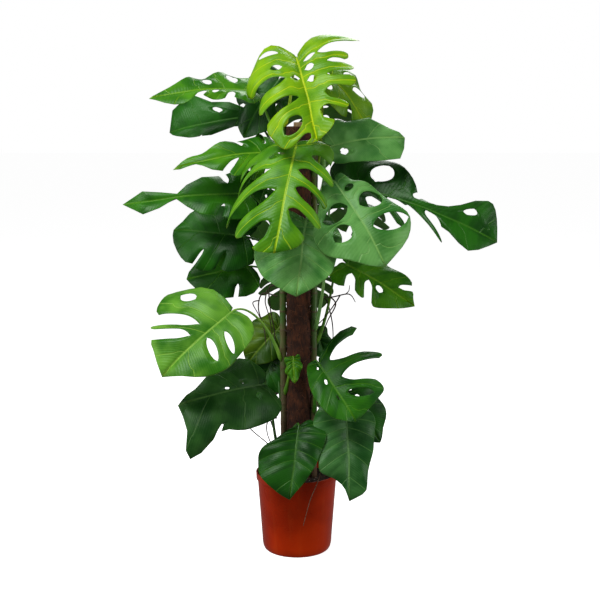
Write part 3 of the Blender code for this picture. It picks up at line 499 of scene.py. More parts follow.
coir_finish, coir_shader, grow = new_finish("coir_mat")
fibre = grow.speckle(260.0, 4.0, (1.0, 1.0, 0.25))
tuft = grow.speckle(34.0, 3.0)
connect(coir_shader, {"Base Color": (fibre * 0.6 + tuft * 0.6).ramp(0.48, 0.82).blend(COIR_DEEP, COIR_MID)},
        fibre * 0.8 + tuft * 0.4, 0.003)
coir_shader.inputs["Roughness"].default_value = 0.95
points = []
for k in range(COIR_RINGS + 1):
    height = coir_low.z + (coir_high.z - coir_low.z) * k / COIR_RINGS
    for s in range(COIR_SIDES):
        turn = 2 * math.pi * s / COIR_SIDES
        spot = Vector((math.cos(turn) * 3, math.sin(turn) * 3, height * 60))
        radius = COIR_RADIUS + COIR_FLUFF + 0.0016 * noise.noise(spot) + 0.0010 * noise.noise(spot * 4)
        points.append((POLE_X + radius * math.cos(turn), radius * math.sin(turn), height))
mat = add_mesh("coir_mat", points, ring_faces(len(points), COIR_SIDES), [coir_finish])
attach(mat, "root")
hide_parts("coir_sleeve")


def coir_fibre(dice, length, lift, radius):
    """One coconut fibre that lies on the sleeve, with its ends lifted off."""
    turn = dice.uniform(0, 2 * math.pi)
    height = dice.uniform(coir_low.z + 0.07, coir_high.z - 0.004)
    lean = dice.gauss(0.25, 0.6)
    curl = dice.uniform(-25.0, 25.0)
    path = []
    for k in range(7):
        along = length * (k / 6 - 0.5)
        bend = lean + curl * along
        out = COIR_RADIUS - 0.0012 + lift * (abs(k - 3) / 3) ** 2
        angle = turn + math.cos(bend) * along / COIR_RADIUS
        rise = min(height + math.sin(bend) * along, coir_high.z)
        path.append(Vector((POLE_X + out * math.cos(angle), out * math.sin(angle), rise)))
    return tube(path, [radius] * 7, 3)


fibre_finish, fibre_shader, grow = new_finish("coir_fibre")
shade = grow.speckle(60.0, 2.0)
connect(fibre_shader, {"Base Color": shade.ramp(0.30, 0.75).blend(COIR_MID, COIR_PALE)},
        grow.speckle(900.0, 2.0), 0.0003)
fibre_shader.inputs["Roughness"].default_value = 0.7
dice = random.Random(5)
points, faces = [], []
for i in range(FIBRE_COUNT):
    length = dice.uniform(0.02, 0.06)
    join_shape(points, faces, coir_fibre(dice, length, 0.0012, dice.uniform(0.00022, 0.00045)))
for i in range(HAIR_COUNT):
    join_shape(points, faces, coir_fibre(dice, dice.uniform(0.03, 0.07), dice.uniform(0.004, 0.011), 0.0003))
fibres = add_mesh("coir_fibres", points, faces, [fibre_finish])
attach(fibres, "root")

twine_finish, twine_shader, grow = new_finish("binding_twine")
ply = grow.speckle(420.0, 2.0, (1.0, 1.0, 2.5))
connect(twine_shader, {"Base Color": ply.ramp(0.4, 0.6).blend(COIR_MID, COIR_PALE)}, ply, 0.0006)
twine_shader.inputs["Roughness"].default_value = 0.8
turns = (coir_high.z - coir_low.z - 0.10) / TWINE_PITCH
steps = int(turns * 28)
path = []
for k in range(steps + 1):
    turn = 2 * math.pi * turns * k / steps
    path.append(Vector((POLE_X + COIR_RADIUS * math.cos(turn), COIR_RADIUS * math.sin(turn),
                        coir_low.z + 0.08 + (coir_high.z - coir_low.z - 0.10) * k / steps)))
twine = add_mesh("binding_twine", *tube(path, [TWINE_RADIUS] * len(path), 6), [twine_finish])
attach(twine, "root")

rod_finish, rod_shader, grow = new_finish("pole_wood")
grain = grow.speckle(120.0, 3.0, (1.0, 1.0, 0.05))
connect(rod_shader, {"Base Color": grain.ramp(0.35, 0.65).blend(ROD_DARK, ROD_PALE),
                     "Roughness": 0.55 + grain * 0.25}, grain, 0.0006)
rod_profile = [(CORE_RADIUS, core_low.z), (CORE_RADIUS, core_high.z - 0.0012)]
rod_profile += arc((CORE_RADIUS - 0.0012, core_high.z - 0.0012), (0.0012, 0.0012), 15, 90, 4)
rod = add_mesh("sawn_rod", *turned(rod_profile, 48, (POLE_X, 0.0)), [rod_finish])
rod.data.set_sharp_from_angle(angle=math.radians(40))
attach(rod, "root")
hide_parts("pole_core")

# ---------------------------------------------------------------- stems
# Three green stems that climb the pole. Each has a swollen node every few centimetres, with
# the corky ring that an old leaf left, and the skin browns toward the foot.

STEM_RADIUS = 0.0095
STEM_SWAY = 0.001
STEM_SIDES = 18
STEM_STEP = 0.006
NODE_SPACING = 0.055
STEM_GREEN = (0.060, 0.150, 0.018)
STEM_OLIVE = (0.110, 0.130, 0.025)
STEM_CORK = (0.120, 0.075, 0.035)
STEM_PHASES = {"left": 0.3, "right": 1.4, "back": 2.6}

stem_boxes = {name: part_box("stem_" + name) for name in STEM_PHASES}
STEM_MIDDLES = {name: (low + high) / 2 for name, (low, high) in stem_boxes.items()}
sway_start = soil_level + 0.03


def stem_axis(name, height):
    """The stem's axis at a height: upright in the soil, then swaying a little along the pole."""
    x, y = STEM_MIDDLES[name].xy
    rise = max(height - sway_start, 0.0)
    sway = STEM_SWAY * math.sin(9.0 * rise + STEM_PHASES[name]) * min(rise / 0.1, 1.0)
    along_x = 1.0 if abs(y) < 0.01 else 0.0
    return Vector((x + sway * along_x, y + sway * (1 - along_x), height))


def node_swell(height):
    """How much wider the stem is at a height, and how near that is to a leaf scar."""
    place = (height / NODE_SPACING) % 1.0
    near = min(place, 1 - place)
    return 1.0 + 0.09 * math.exp(-(near / 0.16) ** 2) - 0.05 * math.exp(-(near / 0.03) ** 2), near


stem_finish, stem_shader, grow = new_finish("stem_skin")
scar = grow.kept("scar").ramp(0.10, 0.02)
age = grow.kept("age")
patch = grow.speckle(45.0, 4.0, (1.0, 1.0, 0.4))
skin_colour = patch.ramp(0.4, 0.65).blend(STEM_GREEN, STEM_OLIVE)
cork = (age * 0.8 + patch * 0.5).ramp(0.55, 0.95)
connect(stem_shader, {"Base Color": (scar * 0.75).blend(cork.blend(skin_colour, STEM_CORK), STEM_CORK),
                      "Roughness": 0.42 + cork * 0.35},
        patch * 0.5 + scar * 0.6 + grow.speckle(400.0, 2.0) * 0.2, 0.0012)
for name, (low, high) in stem_boxes.items():
    count = int((high.z - low.z) / STEM_STEP)
    heights = [low.z + (high.z - low.z) * k / count for k in range(count + 1)]
    swells = [node_swell(h) for h in heights]
    ends = [math.sqrt(max(1 - max(0.0, (h - high.z + 0.02) / 0.021) ** 2, 0.02)) for h in heights]
    radii = [STEM_RADIUS * swell * end for (swell, near), end in zip(swells, ends)]
    path = [stem_axis(name, h) for h in heights]
    stem = add_mesh("climbing_stem_" + name, *tube(path, radii, STEM_SIDES), [stem_finish])
    keep_numbers(stem, "scar", [near for swell, near in swells for s in range(STEM_SIDES)])
    ages = [1 - (h - low.z) / (high.z - low.z) for h in heights]
    keep_numbers(stem, "age", [age for age in ages for s in range(STEM_SIDES)])
    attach(stem, "root")
    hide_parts("stem_" + name)

# ---------------------------------------------------------------- aerial roots
# Thin corky roots that leave the stems at a node and hang free. The one in front is pale and
# younger than the dark ones beside the pole.

ROOT_SIDES = 8
ROOT_RINGS = 60
ROOT_DARK = (0.012, 0.007, 0.004)
ROOT_BROWN = (0.075, 0.042, 0.022)
ROOT_PALE = (0.420, 0.200, 0.120)
AERIAL_ROOTS = {
    "aerial_root_front": (0.0016, ((0.064, -0.012, 0.40), (0.084, -0.060, 0.36), (0.080, -0.105, 0.31),
                                   (0.062, -0.132, 0.25), (0.038, -0.138, 0.19), (0.018, -0.130, 0.11))),
    "aerial_root_right": (0.0020, ((0.066, 0.008, 0.748), (0.085, 0.020, 0.745), (0.101, 0.026, 0.690),
                                   (0.106, 0.024, 0.640), (0.102, 0.020, 0.600))),
    "aerial_root_right_long": (0.0020, ((0.066, -0.006, 0.760), (0.100, -0.004, 0.757),
                                        (0.150, 0.000, 0.765), (0.170, 0.006, 0.740))),
    "aerial_root_left": (0.0020, ((-0.056, 0.008, 0.790), (-0.080, 0.022, 0.780), (-0.078, 0.026, 0.720),
                                  (-0.066, 0.026, 0.650), (-0.064, 0.024, 0.600))),
    "aerial_root_left_far": (0.0020, ((-0.056, -0.006, 0.760), (-0.100, 0.006, 0.765), (-0.112, 0.016, 0.720),
                                      (-0.096, 0.016, 0.660), (-0.090, 0.012, 0.610))),
    "aerial_root_left_low": (0.0024, ((-0.056, 0.004, 0.470), (-0.085, 0.016, 0.450), (-0.080, 0.024, 0.390),
                                      (-0.062, 0.020, 0.330), (-0.058, 0.018, 0.270))),
    "aerial_root_back": (0.0018, ((0.012, 0.062, 0.900), (0.022, 0.090, 0.880), (0.030, 0.100, 0.760),
                                  (0.020, 0.095, 0.620), (0.024, 0.100, 0.480))),
}


def smooth(stations, place):
    """Value at place, 0 to 1, of a smooth curve through evenly spaced stations."""
    last = len(stations) - 1
    spot = min(max(place, 0.0), 1.0) * last
    i = min(int(spot), last - 1)
    f = spot - i
    before = stations[max(i - 1, 0)]
    start = stations[i]
    end = stations[i + 1]
    after = stations[min(i + 2, last)]
    bend = (2 * before - 5 * start + 4 * end - after) * f * f
    bend += (3 * start - before - 3 * end + after) * f * f * f
    return start + 0.5 * ((end - before) * f + bend)


def root_path(stations):
    """Points of a smooth curve through the places that a root runs through."""
    return [Vector(smooth([p[i] for p in stations], k / ROOT_RINGS) for i in range(3))
            for k in range(ROOT_RINGS + 1)]


def root_finish(name, deep, light):
    """Corky root skin, ringed along its length."""
    finish, shader, grow = new_finish(name)
    rings = grow.speckle(500.0, 3.0, (0.3, 0.3, 1.0))
    connect(shader, {"Base Color": rings.ramp(0.35, 0.7).blend(deep, light)}, rings, 0.0008)
    shader.inputs["Roughness"].default_value = 0.75
    return finish


dark_root = root_finish("root_cork", ROOT_DARK, ROOT_BROWN)
pale_root = root_finish("root_young", ROOT_BROWN, ROOT_PALE)
for name, (radius, stations) in AERIAL_ROOTS.items():
    path = root_path(stations)
    radii = []
    for k in range(ROOT_RINGS + 1):
        taper = 1.0 - 0.5 * (k / ROOT_RINGS) ** 3 if k < ROOT_RINGS else 0.2
        radii.append(radius * taper * (1 + 0.12 * noise.noise(path[k] * 300)))
    root = add_mesh(name.replace("aerial_", "free_"), *tube(path, radii, ROOT_SIDES),
                    [pale_root if name == "aerial_root_front" else dark_root])
    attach(root, "root")
    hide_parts(name)

# Finer side roots: radius, and the points that each one runs through
SIDE_ROOT_SIDES = 6
SIDE_ROOT_TAPER = 0.4
SIDE_ROOTS = (
    (0.0024, ((0.098, -0.004, 0.757), (0.112, -0.008, 0.735),
              (0.090, -0.008, 0.690), (0.076, -0.002, 0.650))),
    (0.0022, ((0.125, -0.002, 0.762), (0.112, -0.012, 0.742),
              (0.082, -0.010, 0.700), (0.058, 0.004, 0.672))),
    (0.0016, ((0.140, 0.000, 0.764), (0.150, -0.006, 0.776), (0.152, -0.008, 0.792))),
    (0.0020, ((-0.086, 0.018, 0.775), (-0.092, 0.010, 0.740),
              (-0.080, 0.008, 0.695), (-0.072, 0.010, 0.645))),
    (0.0018, ((-0.108, 0.010, 0.745), (-0.128, 0.006, 0.738),
              (-0.112, 0.004, 0.705), (-0.096, 0.008, 0.668))),
    (0.0022, ((-0.058, 0.004, 0.395), (-0.085, 0.002, 0.385),
              (-0.088, 0.000, 0.350), (-0.070, 0.002, 0.300))),
    (0.0022, ((-0.060, 0.006, 0.405), (-0.110, 0.002, 0.390), (-0.140, 0.000, 0.368),
              (-0.088, 0.000, 0.318), (-0.072, 0.002, 0.290))),
)
points, faces = [], []
for radius, stations in SIDE_ROOTS:
    radii = [radius * (1 - SIDE_ROOT_TAPER * k / ROOT_RINGS) for k in range(ROOT_RINGS + 1)]
    join_shape(points, faces, tube(root_path(stations), radii, SIDE_ROOT_SIDES))
side_roots = add_mesh("side_roots", points, faces, [dark_root])
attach(side_roots, "root")

# Short roots at each node that clasp the coir and hold the stem to the pole
CLASP_RADIUS = 0.0020
CLASPS_PER_NODE = 3
CLASP_SPREAD = 0.75
CLASP_BULGE = 0.003
dice = random.Random(9)
points, faces = [], []
for name, (low, high) in stem_boxes.items():
    for node in range(int(soil_level / NODE_SPACING) + 1, int((high.z - 0.03) / NODE_SPACING) + 1):
        for i in range(CLASPS_PER_NODE):
            start = stem_axis(name, node * NODE_SPACING + dice.uniform(-0.012, 0.012))
            inward = Vector((POLE_X - start.x, -start.y, 0.0))
            turn = math.atan2(-inward.y, -inward.x) + dice.uniform(-CLASP_SPREAD, CLASP_SPREAD)
            grip = Vector((POLE_X + COIR_RADIUS * math.cos(turn), COIR_RADIUS * math.sin(turn),
                           min(start.z - dice.uniform(0.004, 0.030), coir_high.z - 0.004)))
            outward = (grip - Vector((POLE_X, 0, grip.z))).normalized()
            knee = (start + grip) / 2 + outward * CLASP_BULGE
            path = [start, start.lerp(knee, 0.6), knee, knee.lerp(grip, 0.5), grip]
            radii = [CLASP_RADIUS * (1 - 0.12 * k) for k in range(len(path))]
            join_shape(points, faces, tube(path, radii, SIDE_ROOT_SIDES))
clasps = add_mesh("clasping_roots", points, faces, [dark_root])
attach(clasps, "root")

# ---------------------------------------------------------------- leaves
# Each leaf is a leathery blade on its own stalk. Side veins run out from the midrib, the blade
# bulges between them, and it is slit between the veins almost to the midrib, with small holes
# beside it. The crown leaves are young and yellow-green; the lower ones are old and dark.

BLADE_THICKNESS = 0.0007
RIB_HALF_WIDTH = 0.0028
RIB_DEPTH = 0.0022
STALK_TOP_RADIUS = 0.0028
STALK_FOOT_RADIUS = 0.0052
BLADE_ROWS = 28
LOBE_COLUMNS = 6
PLAIN_LINES = 6
STALK_SIDES = 12
STALK_RINGS = 28
LOBE_ROUND = 0.10
QUILT_HEIGHT = 0.0045
EDGE_WAVE = 0.008
LEAF_WANDER = 0.0050
WANDER_SEED = 7

noise.seed_set(WANDER_SEED)

# Half of an uncut blade as (across, along), at even stations from the sinus beside the stalk
# round to the one before the tip. In blade lengths, like every outline here.
HEART = ((0.035, -0.07), (0.20, -0.15), (0.40, -0.07), (0.50, 0.15), (0.47, 0.40), (0.36, 0.65), (0.18, 0.86))
BLUNT = ((0.035, 0.0), (0.14, 0.02), (0.28, 0.08), (0.42, 0.20), (0.45, 0.40), (0.36, 0.65), (0.18, 0.86))
TIP = (0.0, 1.0)

# Where the vein to each station of a plain outline, or of a longer one, leaves the midrib
VEINS = (0.0, 0.012, 0.03, 0.08, 0.18, 0.35, 0.62, 1.0)
LONG_VEINS = (0.0, 0.01, 0.03, 0.08, 0.15, 0.25, 0.36, 0.48, 0.60, 0.78, 1.0)


def even_cuts(count, inner, outer, half, first=0.24, last=0.80):
    """Evenly spaced cuts from inner to outer, where 0 is at the midrib and 1 at the edge."""
    step = (last - first) / (count - 1)
    return tuple((first + step * i, inner, outer, half) for i in range(count))


@dataclass
class Leaf:
    """One leaf: where its blade starts and ends, how it hangs, and how its edge is cut.

    A cut is (place round the edge, inner end, outer end, half width), all as parts of the blade.
    Right and left are the blade's own, looking along the midrib to the tip on its upper face.
    Each half has its own outline where it isn't the plain heart shape, and roll is how much
    harder the left half curls than the right.
    """
    name: str
    foot: tuple
    tip: tuple
    face: tuple
    wide: float = 1.0
    sag: float = 0.5
    fold: float = 0.25
    curl: float = 0.7
    roll: float = 1.0
    right: tuple = ()
    left: tuple = ()
    right_edge: tuple = HEART
    left_edge: tuple = HEART
    stem: str = "left"
    height: float = 0.5
    tone: str = "mid"


PINHOLES = even_cuts(3, 0.12, 0.28, 0.030, 0.30, 0.76)
THREE = even_cuts(3, 0.40, 1.0, 0.022, 0.30, 0.76) + PINHOLES
FOUR = even_cuts(4, 0.40, 1.0, 0.018) + even_cuts(4, 0.12, 0.28, 0.030)

LEAVES = (
    Leaf("leaf_crown", (0.0, -0.05, 1.43), (0.055, -0.20, 1.21), (0.0, -0.80, 0.60),
         wide=1.30, fold=0.55, curl=1.9, roll=0.55, stem="left", height=1.256, tone="young",
         right_edge=((0.03, -0.06), (0.16, -0.20), (0.32, -0.18), (0.46, -0.06), (0.55, 0.10), (0.50, 0.28),
             (0.44, 0.44), (0.42, 0.64), (0.38, 0.84), (0.26, 1.02)),
         left_edge=((0.03, -0.06), (0.20, -0.22), (0.53, -0.18), (0.50, -0.06), (0.41, 0.10), (0.41, 0.26),
             (0.39, 0.42), (0.37, 0.58), (0.28, 0.74), (0.15, 0.90)),
         right=((0.22, 0.40, 0.86, 0.035), (0.42, 0.26, 0.42, 0.03), (0.54, 0.06, 0.18, 0.03),
             (0.54, 0.30, 1.0, 0.045), (0.72, 0.18, 1.0, 0.035), (0.86, 0.25, 0.75, 0.035),
             (0.94, 0.30, 1.0, 0.015)),
         left=((0.34, 0.10, 0.30, 0.035), (0.34, 0.36, 1.0, 0.045), (0.46, 0.10, 0.28, 0.035),
             (0.46, 0.55, 1.0, 0.02), (0.58, 0.10, 0.26, 0.03), (0.58, 0.50, 1.0, 0.02),
             (0.72, 0.40, 1.0, 0.045), (0.84, 0.35, 1.0, 0.035))),
    Leaf("leaf_crown_left", (-0.05, 0.06, 1.375), (-0.155, 0.06, 1.21), (-0.35, -0.85, 0.35),
         sag=0.6, stem="back", height=1.13, tone="dark",
         right=((0.52, 0.35, 0.62, 0.05), (0.75, 0.6, 1.0, 0.02)), left=((0.6, 0.5, 1.0, 0.02),)),
    Leaf("leaf_crown_right", (0.095, 0.08, 1.385), (0.21, 0.07, 1.225), (0.5, -0.65, 0.55),
         wide=0.85, sag=0.6, stem="right", height=1.12, tone="lime",
         right=((0.45, 0.35, 0.60, 0.05), (0.74, 0.4, 1.0, 0.02)),
         left=((0.45, 0.40, 0.82, 0.05), (0.66, 0.35, 0.80, 0.05))),
    Leaf("leaf_upper_left", (-0.14, 0.0, 1.345), (-0.405, -0.08, 1.32), (0.05, -0.60, 0.80),
         curl=0.9, stem="left", height=1.20, tone="fresh",
         right_edge=((0.03, -0.05), (0.12, -0.12), (0.20, -0.05), (0.24, 0.08), (0.24, 0.20), (0.21, 0.32),
             (0.18, 0.42), (0.17, 0.52), (0.16, 0.62), (0.09, 0.82)),
         left_edge=((0.03, -0.05), (0.12, -0.12), (0.20, -0.02), (0.22, 0.10), (0.20, 0.25), (0.16, 0.38),
             (0.14, 0.48), (0.17, 0.60), (0.18, 0.70), (0.13, 0.86)),
         right=((0.36, 0.30, 0.82, 0.06), (0.62, 0.25, 0.70, 0.04)),
         left=((0.40, 0.4, 1.0, 0.03), (0.55, 0.2, 0.6, 0.03), (0.66, 0.35, 1.0, 0.04))),
    Leaf("leaf_upper_left_low", (-0.15, 0.09, 1.27), (-0.375, 0.13, 1.225), (-0.1, -0.9, 0.4),
         stem="back", height=1.05, tone="dark",
         right_edge=((0.03, -0.05), (0.08, -0.08), (0.12, -0.02), (0.18, 0.10), (0.22, 0.25), (0.27, 0.38),
             (0.33, 0.50), (0.38, 0.62), (0.40, 0.75), (0.32, 0.89)),
         left_edge=((0.03, -0.05), (0.08, -0.08), (0.13, 0.0), (0.13, 0.15), (0.13, 0.30), (0.18, 0.45),
             (0.20, 0.58), (0.15, 0.70), (0.12, 0.81), (0.08, 0.92)), right=((0.52, 0.35, 0.60, 0.05),),
         left=((0.6, 0.9, 1.0, 0.01),)),
    Leaf("leaf_left_high", (-0.06, -0.02, 1.17), (-0.34, -0.085, 1.125), (-0.1, -0.70, 0.70),
         sag=0.7, curl=0.9, stem="left", height=1.01, tone="fresh",
         right_edge=((0.03, -0.05), (0.12, -0.10), (0.19, 0.0), (0.20, 0.12), (0.20, 0.25), (0.18, 0.40),
             (0.15, 0.52), (0.12, 0.65), (0.09, 0.76), (0.05, 0.88)),
         left_edge=((0.03, -0.05), (0.16, -0.10), (0.28, 0.0), (0.34, 0.15), (0.34, 0.32), (0.29, 0.48),
             (0.20, 0.60), (0.09, 0.70), (0.05, 0.80), (0.03, 0.90)),
         right=((0.50, 0.30, 1.0, 0.02), (0.30, 0.4, 1.0, 0.015)),
         left=((0.32, 0.3, 1.0, 0.02), (0.45, 0.3, 1.0, 0.02), (0.57, 0.3, 1.0, 0.025))),
    Leaf("leaf_left_tongue", (-0.15, 0.01, 1.055), (-0.49, -0.03, 1.025), (-0.1, -0.85, 0.5),
         sag=0.4, stem="left", height=0.92, tone="mid",
         right_edge=((0.03, -0.05), (0.12, -0.12), (0.20, -0.05), (0.21, 0.10), (0.18, 0.25), (0.14, 0.38),
             (0.08, 0.49), (0.03, 0.57), (0.06, 0.70), (0.09, 0.84)),
         left_edge=((0.03, -0.05), (0.14, -0.10), (0.22, 0.0), (0.25, 0.12), (0.24, 0.25), (0.19, 0.37),
             (0.11, 0.47), (0.03, 0.56), (0.08, 0.70), (0.12, 0.84)), right=((0.35, 0.45, 1.0, 0.02),),
         left=((0.40, 0.45, 1.0, 0.02),)),
    Leaf("leaf_left_dark", (-0.15, 0.06, 0.925), (-0.365, 0.10, 0.94), (-0.1, -0.9, 0.45),
         stem="back", height=0.80, tone="dark",
         right_edge=((0.03, -0.07), (0.16, -0.14), (0.32, -0.10), (0.42, 0.06), (0.45, 0.22), (0.42, 0.38),
             (0.36, 0.54), (0.28, 0.68), (0.19, 0.81), (0.09, 0.92)),
         left_edge=((0.03, -0.07), (0.20, -0.15), (0.40, -0.08), (0.52, 0.10), (0.56, 0.28), (0.56, 0.46),
             (0.52, 0.62), (0.44, 0.76), (0.32, 0.88), (0.16, 0.96)), right=((0.45, 0.5, 1.0, 0.012),),
         left=((0.42, 0.45, 1.0, 0.02), (0.62, 0.5, 1.0, 0.012))),
    Leaf("leaf_left_shade", (-0.145, 0.11, 0.83), (-0.335, 0.14, 0.79), (-0.1, -0.95, 0.3),
         wide=0.95, stem="back", height=0.70, tone="mid", right=((0.45, 0.5, 1.0, 0.015),),
         left=((0.5, 0.5, 1.0, 0.02),)),
    Leaf("leaf_front", (0.0, -0.14, 1.20), (-0.06, -0.30, 0.92), (-0.05, -0.87, 0.5),
         sag=0.6, fold=0.15, curl=1.3, stem="left", height=1.08, tone="bright",
         right_edge=((0.03, -0.04), (0.18, -0.02), (0.40, 0.14), (0.55, 0.34), (0.66, 0.54), (0.68, 0.68),
             (0.62, 0.80), (0.50, 0.85), (0.36, 0.91), (0.20, 0.99)),
         left_edge=((0.03, -0.04), (0.18, -0.08), (0.31, -0.03), (0.37, 0.10), (0.38, 0.25), (0.38, 0.40),
             (0.38, 0.55), (0.36, 0.68), (0.28, 0.80), (0.16, 0.93)),
         right=((0.33, 0.12, 0.32, 0.03), (0.33, 0.50, 1.0, 0.02), (0.46, 0.24, 1.0, 0.05),
             (0.66, 0.14, 1.0, 0.06), (0.86, 0.24, 1.0, 0.04)),
         left=((0.34, 0.36, 1.0, 0.035), (0.50, 0.16, 1.0, 0.04), (0.64, 0.18, 1.0, 0.045),
             (0.80, 0.16, 1.0, 0.04))),
    Leaf("leaf_front_plain", (0.025, -0.15, 0.99), (0.0, -0.26, 0.80), (0.0, -0.85, 0.52),
         fold=0.12, curl=0.6, stem="right", height=0.84, tone="grey",
         right_edge=((0.03, -0.05), (0.20, -0.15), (0.38, -0.08), (0.50, 0.10), (0.58, 0.30), (0.60, 0.48),
             (0.56, 0.64), (0.46, 0.77), (0.30, 0.88), (0.15, 0.95)),
         left_edge=((0.03, -0.05), (0.20, -0.15), (0.36, -0.08), (0.44, 0.08), (0.46, 0.25), (0.45, 0.42),
             (0.42, 0.58), (0.35, 0.72), (0.24, 0.84), (0.12, 0.93))),
    Leaf("leaf_upper_right", (0.10, -0.02, 1.19), (0.305, 0.0, 1.215), (0.1, -0.8, 0.6),
         stem="right", height=1.04, tone="grey",
         right_edge=((0.03, -0.05), (0.12, -0.10), (0.24, -0.04), (0.32, 0.10), (0.34, 0.26), (0.34, 0.42),
             (0.35, 0.58), (0.37, 0.74), (0.34, 0.88), (0.17, 0.95)),
         left_edge=((0.03, -0.05), (0.14, -0.12), (0.30, -0.06), (0.38, 0.10), (0.40, 0.26), (0.37, 0.42),
             (0.31, 0.56), (0.23, 0.70), (0.15, 0.82), (0.07, 0.92)), right=((0.36, 0.25, 0.62, 0.05),),
         left=((0.4, 0.9, 1.0, 0.01),)),
    Leaf("leaf_right_long", (0.12, 0.06, 1.075), (0.565, -0.06, 0.92), (0.1, -0.85, 0.55),
         sag=0.8, curl=0.9, stem="back", height=0.95, tone="dark",
         right_edge=((0.03, -0.05), (0.12, -0.10), (0.18, 0.0), (0.17, 0.12), (0.14, 0.24), (0.17, 0.48),
             (0.03, 0.46), (0.18, 0.70), (0.08, 0.68), (0.15, 0.86)),
         left_edge=((0.03, -0.05), (0.10, -0.10), (0.18, -0.05), (0.22, 0.08), (0.23, 0.20), (0.20, 0.32),
             (0.13, 0.43), (0.05, 0.53), (0.07, 0.68), (0.20, 0.88)),
         right=((0.45, 0.25, 1.0, 0.035), (0.55, 0.12, 1.0, 0.03), (0.645, 0.25, 1.0, 0.025),
             (0.76, 0.12, 1.0, 0.035)),
         left=((0.46, 0.28, 0.82, 0.06), (0.67, 0.50, 1.0, 0.02), (0.885, 0.30, 0.52, 0.02))),
    Leaf("leaf_right_front", (0.105, -0.10, 1.095), (0.24, -0.22, 0.875), (0.1, -0.85, 0.5),
         stem="right", height=0.67, tone="grey",
         right_edge=((0.03, -0.05), (0.10, -0.06), (0.14, 0.0), (0.20, 0.08), (0.30, 0.20), (0.40, 0.34),
             (0.48, 0.48), (0.46, 0.66), (0.31, 0.80), (0.16, 0.93)),
         left_edge=((0.03, -0.05), (0.08, -0.06), (0.12, 0.0), (0.16, 0.06), (0.20, 0.13), (0.27, 0.22),
             (0.34, 0.34), (0.40, 0.50), (0.46, 0.66), (0.34, 0.84)),
         right=((0.55, 0.10, 0.72, 0.075), (0.70, 0.30, 0.70, 0.055)),
         left=((0.40, 0.10, 0.60, 0.04), (0.60, 0.20, 0.86, 0.07), (0.80, 0.15, 0.94, 0.055))),
    Leaf("leaf_right_low", (0.14, 0.02, 0.85), (0.34, -0.02, 0.735), (0.1, -0.85, 0.5),
         stem="right", height=0.63, tone="fresh",
         right_edge=((0.03, -0.05), (0.18, -0.12), (0.30, 0.0), (0.30, 0.14), (0.30, 0.28), (0.32, 0.40),
             (0.33, 0.52), (0.30, 0.64), (0.21, 0.78), (0.10, 0.90)),
         left_edge=((0.03, -0.05), (0.15, -0.10), (0.25, 0.02), (0.28, 0.16), (0.28, 0.30), (0.26, 0.45),
             (0.25, 0.60), (0.24, 0.75), (0.21, 0.90), (0.08, 0.93)),
         right=((0.36, 0.28, 1.0, 0.055), (0.575, 0.16, 1.0, 0.045), (0.70, 0.15, 0.45, 0.04)),
         left=((0.81, 0.38, 1.0, 0.03), (0.4, 0.4, 1.0, 0.015))),
    Leaf("leaf_left_front", (-0.18, -0.14, 0.738), (-0.365, -0.24, 0.575), (-0.1, -0.85, 0.5),
         stem="left", height=0.58, tone="pale",
         right_edge=((0.03, -0.04), (0.27, -0.05), (0.54, 0.02), (0.68, 0.20), (0.71, 0.38), (0.68, 0.57),
             (0.52, 0.68), (0.41, 0.82), (0.30, 0.85), (0.15, 0.93)),
         left_edge=((0.03, -0.04), (0.20, -0.08), (0.33, 0.0), (0.40, 0.14), (0.43, 0.28), (0.44, 0.40),
             (0.42, 0.52), (0.37, 0.64), (0.28, 0.76), (0.14, 0.88)),
         right=((0.35, 0.50, 0.73, 0.05), (0.555, 0.20, 1.0, 0.045), (0.675, 0.20, 1.0, 0.042)),
         left=((0.455, 0.30, 0.85, 0.035), (0.625, 0.14, 0.74, 0.035))),
    Leaf("leaf_left_low", (-0.10, -0.06, 0.51), (-0.33, -0.16, 0.475), (-0.1, -0.8, 0.6),
         curl=0.9, stem="left", height=0.28, tone="dusk_sheen",
         right_edge=((0.03, -0.05), (0.18, -0.12), (0.32, -0.03), (0.38, 0.12), (0.38, 0.28), (0.32, 0.44),
             (0.24, 0.58), (0.17, 0.70), (0.11, 0.80), (0.06, 0.90)),
         left_edge=((0.03, -0.05), (0.22, -0.15), (0.38, -0.08), (0.47, 0.08), (0.49, 0.25), (0.48, 0.42),
             (0.46, 0.62), (0.62, 0.90), (0.58, 1.12), (0.28, 1.00)),
         right=((0.47, 0.14, 0.24, 0.02), (0.64, 0.08, 0.20, 0.02)),
         left=((0.34, 0.18, 0.38, 0.04), (0.645, 0.72, 1.0, 0.02))),
    Leaf("leaf_left_inner", (-0.05, 0.07, 0.655), (-0.15, 0.05, 0.545), (-0.2, -0.9, 0.35),
         wide=0.95, stem="back", height=0.50, tone="olive"),
    Leaf("leaf_pot_front", (0.005, -0.10, 0.395), (-0.02, -0.19, 0.21), (0.0, -0.9, 0.4),
         fold=0.3, stem="left", height=0.30, tone="deep",
         right_edge=((0.03, -0.03), (0.10, 0.04), (0.20, 0.12), (0.32, 0.22), (0.44, 0.33), (0.52, 0.46),
             (0.53, 0.58), (0.45, 0.72), (0.32, 0.84), (0.16, 0.94)),
         left_edge=((0.03, -0.05), (0.15, -0.12), (0.29, -0.08), (0.38, 0.05), (0.38, 0.20), (0.35, 0.35),
             (0.30, 0.48), (0.24, 0.61), (0.17, 0.74), (0.09, 0.87))),
    Leaf("leaf_pot_right", (0.14, -0.06, 0.43), (0.15, -0.165, 0.197), (0.15, -0.9, 0.4),
         stem="right", height=0.30, tone="sheen_slate",
         right_edge=((0.03, -0.05), (0.22, -0.12), (0.34, 0.0), (0.38, 0.13), (0.37, 0.27), (0.35, 0.41),
             (0.34, 0.54), (0.32, 0.67), (0.16, 0.75), (0.06, 0.84)),
